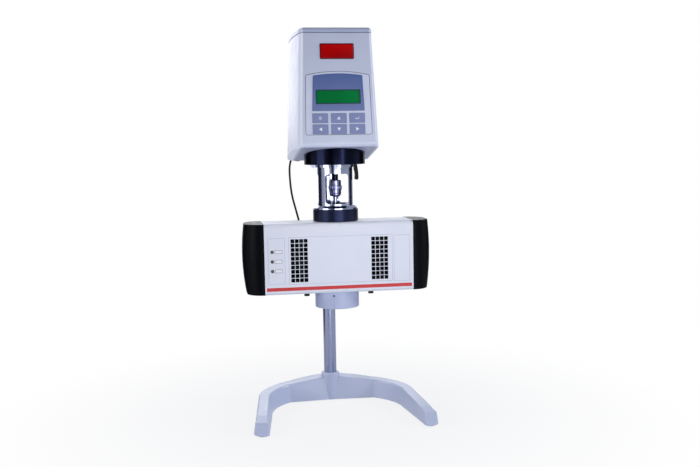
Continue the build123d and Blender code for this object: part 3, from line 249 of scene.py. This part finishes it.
def plastic(name, color, roughness=0.5, grain=1800.0, depth=0.00003, gloss=0.35):
    """Moulded plastic with a fine spark-eroded texture."""
    made = Shader(name, color, roughness)
    made.shader.inputs["Specular IOR Level"].default_value = gloss
    made.tint(made.noise(30.0), darker(color, 0.88), 0.5)
    made.vary_roughness(made.noise(90.0), roughness - 0.06, roughness + 0.08)
    made.bump(made.noise(grain, 3.0), depth)
    return made.material


def print_with_painted_shade(name, color, other, start, end):
    """Smooth printed film whose colour turns into another one between two heights, as painted
    shade.
    """
    made = Shader(name, color, 0.4)
    made.shader.inputs["Specular IOR Level"].default_value = 0.3
    made.grade(other, start, end)
    made.tint(made.noise(30.0), darker(color, 0.9), 0.3)
    made.vary_roughness(made.noise(90.0), 0.34, 0.48)
    made.bump(made.noise(2400.0, 3.0), 0.00001)
    return made.material


def metal(name, color, roughness=0.22, stretch=(1, 1, 1), streak=900.0, depth=0.000012):
    """Turned, ground or brushed metal; stretch lays the streaks."""
    made = Shader(name, color, roughness, 1.0)
    streaks = made.noise(streak, 3.0, stretch)
    made.tint(streaks, darker(color, 0.72), 0.5)
    made.tint(made.noise(18.0), darker(color, 0.85), 0.5)
    made.vary_roughness(streaks, roughness - 0.06, roughness + 0.1)
    made.bump(streaks, depth)
    return made.material


def rubber(name, color, roughness=0.75):
    """Soft dull rubber with faint wear."""
    made = Shader(name, color, roughness)
    made.shader.inputs["Specular IOR Level"].default_value = 0.25
    made.tint(made.noise(120.0), darker(color, 0.6), 0.6)
    made.bump(made.noise(1400.0), 0.00005)
    return made.material


def lens(name, color, roughness=0.12, gloss=0.2, shade_color=None, start=0.0, end=1.0):
    """Tinted clear plastic over something darker: saturated, glossy, barely uneven.

    Between the heights start and end its colour may turn into a darker one, as painted light and
    shade that run with height.
    """
    made = Shader(name, color, roughness)
    if shade_color:
        made.grade(shade_color, start, end)
    made.shader.inputs["Specular IOR Level"].default_value = gloss
    made.tint(made.noise(26.0, 2.0), darker(color, 0.72), 0.8)
    made.vary_roughness(made.noise(120.0), roughness - 0.03, roughness + 0.05)
    made.shader.inputs["Coat Weight"].default_value = gloss
    made.shader.inputs["Coat Roughness"].default_value = 0.08
    return made.material


def shell_with_painted_inner_shade(name, color, inside, middle):
    """Powder paint outside, and painted shade on the inner faces of a bar-shaped casing, where
    little light reaches.

    A point is inside where its surface looks towards the line along X through middle.
    """
    made = Shader(name, color, 0.42)
    made.shader.inputs["Specular IOR Level"].default_value = 0.35
    made.tint(made.noise(9.0, 4.0), darker(color, 0.94), 0.7)
    made.tint(made.noise(2600.0, 2.0), darker(color, 0.9), 0.3)
    made.vary_roughness(made.noise(60.0), 0.37, 0.49)
    made.bump(made.noise(700.0, 2.0), 0.00004)
    tree = made.tree
    away = made.node("ShaderNodeVectorMath", Vector=made.coords)
    away.operation = "SUBTRACT"
    away.inputs[1].default_value = (0.0, middle[0], middle[1])
    across = tree.nodes.new("ShaderNodeVectorMath")
    across.operation = "MULTIPLY"
    across.inputs[1].default_value = (0.0, 1.0, 1.0)
    tree.links.new(away.outputs[0], across.inputs[0])
    facing = tree.nodes.new("ShaderNodeVectorMath")
    facing.operation = "DOT_PRODUCT"
    tree.links.new(across.outputs[0], facing.inputs[0])
    tree.links.new(tree.nodes.new("ShaderNodeTexCoord").outputs["Normal"], facing.inputs[1])
    # painted shade: faces that look inward get the dark inside colour
    inward = tree.nodes.new("ShaderNodeMath")
    inward.operation = "LESS_THAN"
    inward.inputs[1].default_value = 0.002
    tree.links.new(facing.outputs["Value"], inward.inputs[0])
    mix = tree.nodes.new("ShaderNodeMix")
    mix.data_type = "RGBA"
    base = made.shader.inputs["Base Color"]
    tree.links.new(base.links[0].from_socket, mix.inputs[6])
    mix.inputs[7].default_value = inside
    tree.links.new(inward.outputs[0], mix.inputs[0])
    tree.links.new(mix.outputs[2], base)
    return made.material


TURNED = (1, 1, 14)              # rings round an upright axis
DRAWN = (14, 14, 1)              # streaks along an upright axis
BRUSHED = (1, 12, 12)            # streaks across the width


def make_materials():
    """One material for each of the record's slots, and a few for small pieces."""
    return {
        "cast_paint": paint("cast_paint", linear(178, 187, 213), 0.36, 0.00009, 420.0, 0.2),
        "head_paint": paint("head_paint", linear(206, 212, 231), 0.4, 0.00003, 900.0),
        "lid_paint": paint("lid_paint", linear(184, 191, 216), 0.4, 0.00003, 900.0, 0.1),
        "panel_plastic": plastic("panel_plastic", linear(214, 219, 236), 0.48),
        # painted shade: the blue label is darker at its top and lighter at its bottom
        "label_blue": print_with_painted_shade(
            "label_blue", linear(88, 107, 160), linear(118, 130, 173),
            on_face(LABEL_HIGH), on_face(LABEL_LOW),
        ),
        "screen_green": lens("screen_green", linear(8, 128, 62), 0.3, 0.06),
        "key_blue": plastic("key_blue", linear(132, 141, 182), 0.55),
        # painted light: the red window is lighter at its top and deeper red at its bottom
        "window_red": lens(
            "window_red", linear(216, 2, 2), 0.2, 0.14,
            linear(126, 0, 2), on_face(WINDOW_HIGH), on_face(WINDOW_LOW),
        ),
        "bezel_dark": plastic("bezel_dark", linear(104, 2, 18), 0.45, gloss=0.1),
        "rubber_black": rubber("rubber_black", linear(30, 30, 34)),
        "stainless": metal("stainless", linear(158, 166, 196), 0.17, DRAWN),
        "chrome_steel": metal(
            "chrome_steel", linear(172, 180, 206), 0.14, DRAWN, 700.0, 0.000006
        ),
        "screw_steel": metal("screw_steel", linear(96, 99, 112), 0.32),
        "black_paint": plastic("black_paint", linear(4, 6, 10), 0.36, 500.0, 0.00001, 0.05),
        "black_anodised": metal(
            "black_anodised", linear(20, 23, 42), 0.2, TURNED, 900.0, 0.000004
        ),
        "black_plastic": plastic("black_plastic", linear(7, 8, 12), 0.5, gloss=0.14),
        "rocker_black": plastic("rocker_black", linear(30, 32, 38), 0.3, gloss=0.45),
        "board_green": plastic("board_green", linear(34, 92, 56), 0.4),
        "supply_zinc": metal("supply_zinc", linear(176, 180, 190), 0.38, BRUSHED),
        "aluminium_raw": metal("aluminium_raw", linear(150, 154, 164), 0.4, BRUSHED),
        "magnet_steel": metal("magnet_steel", linear(96, 98, 106), 0.4, TURNED),
        "copper_iron": metal("copper_iron", linear(150, 100, 74), 0.42, TURNED),
        # painted shade: the inner faces of the unit's casing are dark
        "shell_paint": shell_with_painted_inner_shade(
            "shell_paint", linear(226, 229, 239), linear(26, 27, 32), (AXIS_Y, UNIT_MIDDLE_Z)
        ),
        "ceramic_white": plastic("ceramic_white", linear(232, 230, 224), 0.55),
        "cable_black": rubber("cable_black", linear(12, 12, 18), 0.6),
        "led_amber": lens("led_amber", linear(96, 70, 62), 0.2),
        "nickel_shell": metal("nickel_shell", linear(184, 182, 174), 0.25, TURNED),
        "anodised_blue": metal(
            "anodised_blue", linear(32, 37, 60), 0.36, TURNED, 900.0, 0.000006
        ),
        "shaft_dark": metal("shaft_dark", linear(26, 28, 44), 0.26, DRAWN, 700.0, 0.000006),
        "coupling_steel": metal(
            "coupling_steel", linear(134, 138, 172), 0.24, TURNED, 1100.0, 0.00001
        ),
        "cap_paint": paint("cap_paint", linear(182, 190, 220), 0.4, 0.00003, 900.0, 0.1),
        "fan_black": plastic("fan_black", linear(6, 6, 9), 0.6, gloss=0.1),
        "heat_sink_dark": metal("heat_sink_dark", linear(58, 60, 70), 0.45, BRUSHED),
        "legend_white": plastic("legend_white", linear(238, 240, 248), 0.5, 2400.0, 0.00001),
        "stripe_red": plastic("stripe_red", linear(206, 44, 48), 0.42, 2400.0, 0.00001),
        "outline_grey": plastic("outline_grey", linear(164, 170, 194), 0.5, 2400.0, 0.00001),
        "field_edge": plastic("field_edge", linear(60, 65, 92), 0.5, 2400.0, 0.00001),
        "underside_paint": paint("underside_paint", linear(164, 170, 194), 0.45, 0.00003, 900.0),
        # painted shade for the gap round the keypad panel
        "gap_shade_dark": plastic("gap_shade_dark", linear(34, 38, 62), 0.7, 2400.0, 0.00001, 0.05),
        "frame_navy": plastic("frame_navy", linear(26, 30, 66), 0.35, 2400.0, 0.00001),
    }


SHARP_ANGLE = 32                 # edges sharper than this many degrees stay crisp
FINISHES = {                     # nodes whose finish differs from others of their slot
    "seat_ring": "anodised_blue",
    "drive_shaft": "shaft_dark",
    "coupling_body": "coupling_steel",
    "coupling_sleeve": "coupling_steel",
    "bottom_cap": "cap_paint",
    "underside_plate": "underside_paint",
    "power_rocker": "rocker_black",
    "unit_rocker": "rocker_black",
    "fan_frames": "fan_black",
    "left_fan_rotor": "fan_black",
    "right_fan_rotor": "fan_black",
    "heat_sinks": "heat_sink_dark",
}


def dress_nodes(materials):
    """Give each CAD node its finish and smooth shading over its gentle edges."""
    for entry in frame["record"]["subparts"]:
        node = NODES[entry["node"]]
        finish = FINISHES.get(entry["node"], entry["material_slot"])
        node.data.materials.clear()
        node.data.materials.append(materials[finish])
        for polygon in node.data.polygons:
            polygon.use_smooth = True
            polygon.material_index = 0
        node.data.set_sharp_from_angle(angle=math.radians(SHARP_ANGLE))


# ---- printed and applied pieces ------------------------------------------------------
UNIT_FACE = Matrix.Translation((0, AXIS_Y + UNIT_FACE_Y, 0)) @ Matrix.Rotation(
    math.pi / 2, 4, "X"
)                                # x across, y up the unit's front, z out of it


def plate(bm, outline, low, high):
    """Close one flat plate from an outline in millimetres, between two heights."""
    lower = [bm.verts.new((x * MM, y * MM, low * MM)) for x, y in outline]
    upper = [bm.verts.new((x * MM, y * MM, high * MM)) for x, y in outline]
    bm.faces.new(upper)
    bm.faces.new(lower[::-1])
    count = len(outline)
    for k in range(count):
        after = (k + 1) % count
        bm.faces.new((lower[k], lower[after], upper[after], upper[k]))


def rectangle(low_x, low_y, high_x, high_y):
    """Outline of a rectangle with sharp corners, counter-clockwise."""
    return [(low_x, low_y), (high_x, low_y), (high_x, high_y), (low_x, high_y)]


def rounded(width, height, radius, x=0.0, y=0.0, steps=5):
    """Outline of a rounded rectangle, counter-clockwise."""
    points = []
    corners = ((1, -1, -90), (1, 1, 0), (-1, 1, 90), (-1, -1, 180))
    for side_x, side_y, start in corners:
        for k in range(steps + 1):
            angle = math.radians(start + 90 * k / steps)
            points.append((
                x + side_x * (width / 2 - radius) + radius * math.cos(angle),
                y + side_y * (height / 2 - radius) + radius * math.sin(angle),
            ))
    return points


def ring(bm, outer, inner, low, high):
    """Close a flat ring between two outlines with the same number of points."""
    count = len(outer)
    rows = []
    for outline, z in ((outer, high), (inner, high), (inner, low), (outer, low)):
        rows.append([bm.verts.new((x * MM, y * MM, z * MM)) for x, y in outline])
    for row, following in zip(rows, rows[1:] + rows[:1]):
        for k in range(count):
            after = (k + 1) % count
            bm.faces.new((row[k], row[after], following[after], following[k]))


def disc(radius, x=0.0, y=0.0, steps=20):
    """Outline of a circle, counter-clockwise."""
    return [
        (x + radius * math.cos(math.tau * k / steps), y + radius * math.sin(math.tau * k / steps))
        for k in range(steps)
    ]


def applied(name, build, place, material, body="frame", bevel=0.0):
    """Turn a mesh built on a flat face into a piece that rides on a body."""
    bm = bmesh.new()
    build(bm)
    bmesh.ops.recalc_face_normals(bm, faces=bm.faces)
    mesh = bpy.data.meshes.new(name)
    bm.to_mesh(mesh)
    bm.free()
    mesh.transform(place)
    mesh.materials.append(material)
    piece = bpy.data.objects.new(name, mesh)
    bpy.context.collection.objects.link(piece)
    if bevel:
        edge = piece.modifiers.new("edge", "BEVEL")
        edge.width = bevel * MM
        edge.segments = 2
        edge.limit_method = "ANGLE"
    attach(piece, body)


KEY_X = {"left": -33.4, "middle": 0.0, "right": 33.4}
KEY_ROW = {"upper": 51.4, "lower": 31.6}
KEY_FACE = 0.8                   # how far the keys stand out of the panel
LEGEND_SINK, LEGEND_RISE = 0.05, 0.12       # below and above the key's face


def make_key_legends(materials):
    """Raised pictograms: arrows on four keys, start and enter signs on the other two."""
    white = materials["legend_white"]
    low, high = KEY_FACE - LEGEND_SINK, KEY_FACE + LEGEND_RISE
    arrow = [(0.0, 3.1), (-3.4, -2.6), (3.4, -2.6)]

    def turned(points, quarter, x, y):
        across, up = math.cos(math.radians(90 * quarter)), math.sin(math.radians(90 * quarter))
        return [(x + px * across - py * up, y + px * up + py * across) for px, py in points]

    for key, quarter, x, y in (
        ("up_key", 0, KEY_X["middle"], KEY_ROW["upper"]),
        ("left_key", 1, KEY_X["left"], KEY_ROW["lower"]),
        ("down_key", 2, KEY_X["middle"], KEY_ROW["lower"]),
        ("right_key", 3, KEY_X["right"], KEY_ROW["lower"]),
    ):
        applied(
            key + "_arrow", lambda bm: plate(bm, turned(arrow, quarter, x, y), low, high),
            FACE, white, "body_" + key,
        )

    def start_sign(bm):
        x, y = KEY_X["left"], KEY_ROW["upper"]
        ring(bm, disc(2.7, x, y), disc(2.0, x, y), low, high)
        plate(bm, rounded(0.9, 2.6, 0.3, x, y), low, high)

    def enter_sign(bm):
        x, y = KEY_X["right"], KEY_ROW["upper"]
        plate(bm, rectangle(x - 1.6, y - 1.7, x + 3.2, y - 0.9), low, high)
        plate(bm, rectangle(x + 2.4, y - 0.9, x + 3.2, y + 2.0), low, high)
        plate(bm, [(x - 3.6, y - 1.3), (x - 1.5, y - 3.0), (x - 1.5, y + 0.4)], low, high)

    applied("start_key_sign", start_sign, FACE, white, "body_start_key")
    applied("enter_key_sign", enter_sign, FACE, white, "body_enter_key")


PANEL_LOW, PANEL_HIGH, PANEL_ARCH = 21.5, 128.5, 135.0
PANEL_LOW_HALF, PANEL_HIGH_HALF = 60.4, 57.8
PANEL_CORNER = 4.0
PANEL_GAP = 0.5                  # between the keypad panel and its recess
SHADE_LAP = 0.12                  # how far the painted gap shade covers each side of the gap


def arched(inset, steps=20):
    """Outline of the keypad panel moved inwards: tapered sides, rounded corners, bowed top."""
    radius = PANEL_CORNER - inset
    low, high = PANEL_LOW + inset, PANEL_HIGH - inset
    low_half, high_half = PANEL_LOW_HALF - inset, PANEL_HIGH_HALF - inset
    rise = PANEL_ARCH - PANEL_HIGH
    bow_radius = (high_half ** 2 + rise ** 2) / (2 * rise)
    bow_middle = high + rise - bow_radius
    corner_x = high_half - radius
    corner_y = bow_middle + math.sqrt((bow_radius - radius) ** 2 - corner_x ** 2)
    lean_in = math.atan2(corner_y - bow_middle, corner_x)
    half = []
    for k in range(6):
        angle = math.radians(90 * k / 5 - 90)
        half.append((
            low_half - radius + radius * math.cos(angle), low + radius * (1 + math.sin(angle))
        ))
    for k in range(6):
        angle = lean_in * k / 5
        half.append((corner_x + radius * math.cos(angle), corner_y + radius * math.sin(angle)))
    for k in range(1, steps // 2):
        angle = lean_in + (math.pi / 2 - lean_in) * k / (steps // 2)
        half.append((bow_radius * math.cos(angle), bow_middle + bow_radius * math.sin(angle)))
    return half + [(0.0, high + rise)] + [(-x, y) for x, y in reversed(half)]


def make_panel_gap_shade(materials):
    """Dark strip over the gap round the keypad panel, painted shade of the gap."""
    def build(bm):
        ring(bm, arched(-SHADE_LAP), arched(PANEL_GAP + SHADE_LAP), -0.3, 0.05)
    applied("panel_gap_shade", build, FACE, materials["gap_shade_dark"])


SCREEN_RISE = 89.4               # middle of the display, in mm up the leaning face


def make_screen_frame(materials):
    """Dark lip round the display glass, inside the aperture of the label."""
    def build(bm):
        outer = rounded(81.0, 25.6, 0.8, 0.0, SCREEN_RISE)
        inner = rounded(77.6, 22.8, 0.5, 0.0, SCREEN_RISE)
        ring(bm, outer, inner, -0.18, 0.35)
    applied("screen_frame", build, FACE, materials["frame_navy"])


PRINT_SINK = -0.02               # the graphics reach this far into the front
LAMP_HEIGHTS = (321.0, 303.3, 285.8)
LAMP_X, FIELD_X = -124.0, -112.6            # status lights and the fields beside them


def make_unit_graphics(materials):
    """Stripe, framing lines, bare label fields and collars on the front of the unit."""
    def stripe(bm):
        plate(bm, rectangle(-135, 248.8, 135, 255.2), PRINT_SINK, 0.1)
    applied("unit_stripe", stripe, UNIT_FACE, materials["stripe_red"])

    def lines(bm):
        for low_x, high_x, low_z, high_z in (
            (-131.5, -101.0, 262.0, 346.0),
            (-94.0, 98.5, 260.5, 347.0),
            (101.3, 131.0, 259.5, 345.5),
        ):
            width, height = high_x - low_x, high_z - low_z
            x, z = (low_x + high_x) / 2, (low_z + high_z) / 2
            inner = rounded(width - 0.9, height - 0.9, 0.5, x, z)
            ring(bm, rounded(width, height, 0.8, x, z), inner, PRINT_SINK, 0.06)
    applied("unit_frame_lines", lines, UNIT_FACE, materials["outline_grey"])

    def fields(bm):
        for z in LAMP_HEIGHTS:
            plate(bm, rounded(12.6, 5.4, 0.6, FIELD_X, z), PRINT_SINK, 0.08)
    applied("lamp_fields", fields, UNIT_FACE, materials["legend_white"])

    def edges(bm):
        for z in LAMP_HEIGHTS:
            inner = rounded(12.5, 5.3, 0.6, FIELD_X, z)
            ring(bm, rounded(13.6, 6.4, 0.9, FIELD_X, z), inner, PRINT_SINK, 0.1)
    applied("lamp_field_edges", edges, UNIT_FACE, materials["field_edge"])

    def collars(bm):
        for z in LAMP_HEIGHTS:
            ring(bm, disc(3.1, LAMP_X, z), disc(1.95, LAMP_X, z), PRINT_SINK, 0.55)
    black = materials["black_plastic"]
    applied("lamp_collars", collars, UNIT_FACE, black, bevel=0.15)


# ---- floor, light, world -------------------------------------------------------------
FLOOR_HALF = 12.0                # half the floor's side
FLOOR_DROP = 0.0002              # keeps the floor clear of the feet
FLOOR_FADE = (0.12, 0.75)        # the glow grows between these distances
FLOOR_NEAR_GLOW = 0.84           # and starts from this share, so that the shadow shows
GLOSSY_FLOOR, GLOSSY_WORLD = 0.5, 0.45      # brightness that polished steel sees


def math_node(tree, operation, first, second):
    """Result of a math node whose inputs are sockets or plain numbers."""
    made = tree.nodes.new("ShaderNodeMath")
    made.operation = operation
    for socket, value in zip(made.inputs, (first, second)):
        if isinstance(value, bpy.types.NodeSocket):
            tree.links.new(value, socket)
        else:
            socket.default_value = value
    return made.outputs[0]


def backdrop_share(tree, glossy_share):
    """1 for the eye and for rays through glass, a share for reflections, 0 for other light."""
    rays = tree.nodes.new("ShaderNodeLightPath").outputs
    seen = math_node(tree, "MAXIMUM", rays["Is Camera Ray"], rays["Is Transmission Ray"])
    glossy = math_node(tree, "MULTIPLY", rays["Is Glossy Ray"], glossy_share)
    return math_node(tree, "MAXIMUM", seen, glossy)


def mix_surfaces(tree, share, first, second, output):
    """Mix two shaders by a share and lead the result to a surface output."""
    mix = tree.nodes.new("ShaderNodeMixShader")
    tree.links.new(share, mix.inputs[0])
    tree.links.new(first.outputs[0], mix.inputs[1])
    tree.links.new(second.outputs[0], mix.inputs[2])
    tree.links.new(mix.outputs[0], tree.nodes[output].inputs["Surface"])


def make_floor():
    """Pale floor that stays white to the eye and keeps a soft shadow."""
    mesh = bpy.data.meshes.new("floor")
    size = FLOOR_HALF
    mesh.from_pydata(
        [(-size, -size, 0), (size, -size, 0), (size, size, 0), (-size, size, 0)], [], [(0, 1, 2, 3)]
    )
    floor = bpy.data.objects.new("floor", mesh)
    floor.location.z = -FLOOR_DROP
    bpy.context.collection.objects.link(floor)
    material = bpy.data.materials.new("floor")
    material.use_nodes = True
    tree = material.node_tree
    shader = tree.nodes["Principled BSDF"]
    shader.inputs["Base Color"].default_value = (0.5, 0.53, 0.62, 1)
    shader.inputs["Roughness"].default_value = 0.9
    shader.inputs["Specular IOR Level"].default_value = 0.1
    glow = tree.nodes.new("ShaderNodeEmission")
    glow.inputs["Color"].default_value = (1, 1, 1, 1)
    glow.inputs["Strength"].default_value = 1.0
    # further from the object more of the floor glows, up to all of it
    place = tree.nodes.new("ShaderNodeTexCoord")
    reach = tree.nodes.new("ShaderNodeVectorMath")
    reach.operation = "LENGTH"
    tree.links.new(place.outputs["Object"], reach.inputs[0])
    fade = tree.nodes.new("ShaderNodeMapRange")
    fade.interpolation_type = "SMOOTHSTEP"
    fade.inputs["From Min"].default_value, fade.inputs["From Max"].default_value = FLOOR_FADE
    fade.inputs["To Min"].default_value = FLOOR_NEAR_GLOW
    fade.inputs["To Max"].default_value = 1.0
    tree.links.new(reach.outputs["Value"], fade.inputs["Value"])
    seen = backdrop_share(tree, GLOSSY_FLOOR)
    share = math_node(tree, "MULTIPLY", seen, fade.outputs["Result"])
    mix_surfaces(tree, share, shader, glow, "Material Output")
    mesh.materials.append(material)


def make_world():
    """White to the eye and in reflections, a softer cool light for everything else."""
    world = bpy.data.worlds.new("studio")
    bpy.context.scene.world = world
    world.use_nodes = True
    tree = world.node_tree
    light = tree.nodes["Background"]
    light.inputs["Color"].default_value = (0.55, 0.68, 1.0, 1)
    light.inputs["Strength"].default_value = 0.2
    white = tree.nodes.new("ShaderNodeBackground")
    white.inputs["Color"].default_value = (1, 1, 1, 1)
    white.inputs["Strength"].default_value = 1.0
    mix_surfaces(tree, backdrop_share(tree, GLOSSY_WORLD), light, white, "World Output")


def around(azimuth, distance, height):
    """A place round the measuring axis; 0 is in front, positive to the right."""
    angle = math.radians(azimuth)
    return (distance * math.sin(angle), AXIS_Y - distance * math.cos(angle), height)


def add_lamp(name, place, aim, size, power, color=(1, 1, 1)):
    """A soft rectangular lamp aimed at a point."""
    data = bpy.data.lights.new(name, "AREA")
    data.shape = "RECTANGLE"
    data.size, data.size_y = size
    data.energy = power
    data.color = color
    lamp = bpy.data.objects.new(name, data)
    lamp.location = place
    lamp.rotation_euler = (Vector(aim) - Vector(place)).to_track_quat("-Z", "Y").to_euler()
    lamp.visible_camera = False
    bpy.context.collection.objects.link(lamp)


WARM, WARMER, COOL = (1.0, 0.97, 0.93), (1.0, 0.95, 0.88), (0.95, 0.97, 1.0)


def make_lights():
    """Low and high boxes at the left, small ones in front, one at the right, one behind."""
    add_lamp("left_box", around(-61, 1.7, 0.34), (0, 0, 0.45), (0.87, 0.3), 5.5, WARM)
    add_lamp("side_box", around(-96, 1.5, 1.0), (0, 0, 0.65), (0.5, 0.6), 14, WARMER)
    add_lamp("front_right", around(22, 1.5, 0.3), (0, 0, 0.05), (0.2, 0.6), 2.8)
    add_lamp("front_low", around(3, 0.9, 0.16), (0, 0, 0.28), (0.6, 0.16), 1.2)
    add_lamp("front_under", (0.06, -0.55, 0.4), (0, AXIS_Y, 0.52), (0.34, 0.1), 0.6)
    add_lamp("right_box", around(82, 1.8, 1.0), (0, 0, 0.0), (0.6, 0.6), 22)
    add_lamp("back_box", around(-176, 2.1, 1.15), (0, 0, 0.6), (1.8, 1.2), 14, COOL)


FLAG_HEIGHT = 1.1


def make_flags():
    """Dark cards that only polished surfaces see, as they are used to give chrome its edges."""
    material = bpy.data.materials.new("flag")
    material.use_nodes = True
    shader = material.node_tree.nodes["Principled BSDF"]
    shader.inputs["Base Color"].default_value = linear(24, 28, 62)
    shader.inputs["Roughness"].default_value = 0.9
    shader.inputs["Specular IOR Level"].default_value = 0.0
    for name, start, end, away in (
        ("flag_front", -30, 10, 1.25),
        ("flag_left", -150, -104, 0.8),
        ("flag_right", 98, 132, 1.25),
    ):
        mesh = bpy.data.meshes.new(name)
        low = [around(start, away, 0.0), around(end, away, 0.0)]
        high = [around(end, away, FLAG_HEIGHT), around(start, away, FLAG_HEIGHT)]
        mesh.from_pydata(low + high, [], [(0, 1, 2, 3)])
        mesh.materials.append(material)
        card = bpy.data.objects.new(name, mesh)
        bpy.context.collection.objects.link(card)
        card.visible_camera = False
        card.visible_diffuse = False
        card.visible_shadow = False
        card.visible_transmission = False


make_camera()
MATERIALS = make_materials()
dress_nodes(MATERIALS)
make_cable(MATERIALS)
make_key_legends(MATERIALS)
make_panel_gap_shade(MATERIALS)
make_screen_frame(MATERIALS)
make_unit_graphics(MATERIALS)
make_floor()
make_world()
make_lights()
make_flags()
bpy.context.scene.view_settings.view_transform = "Standard"
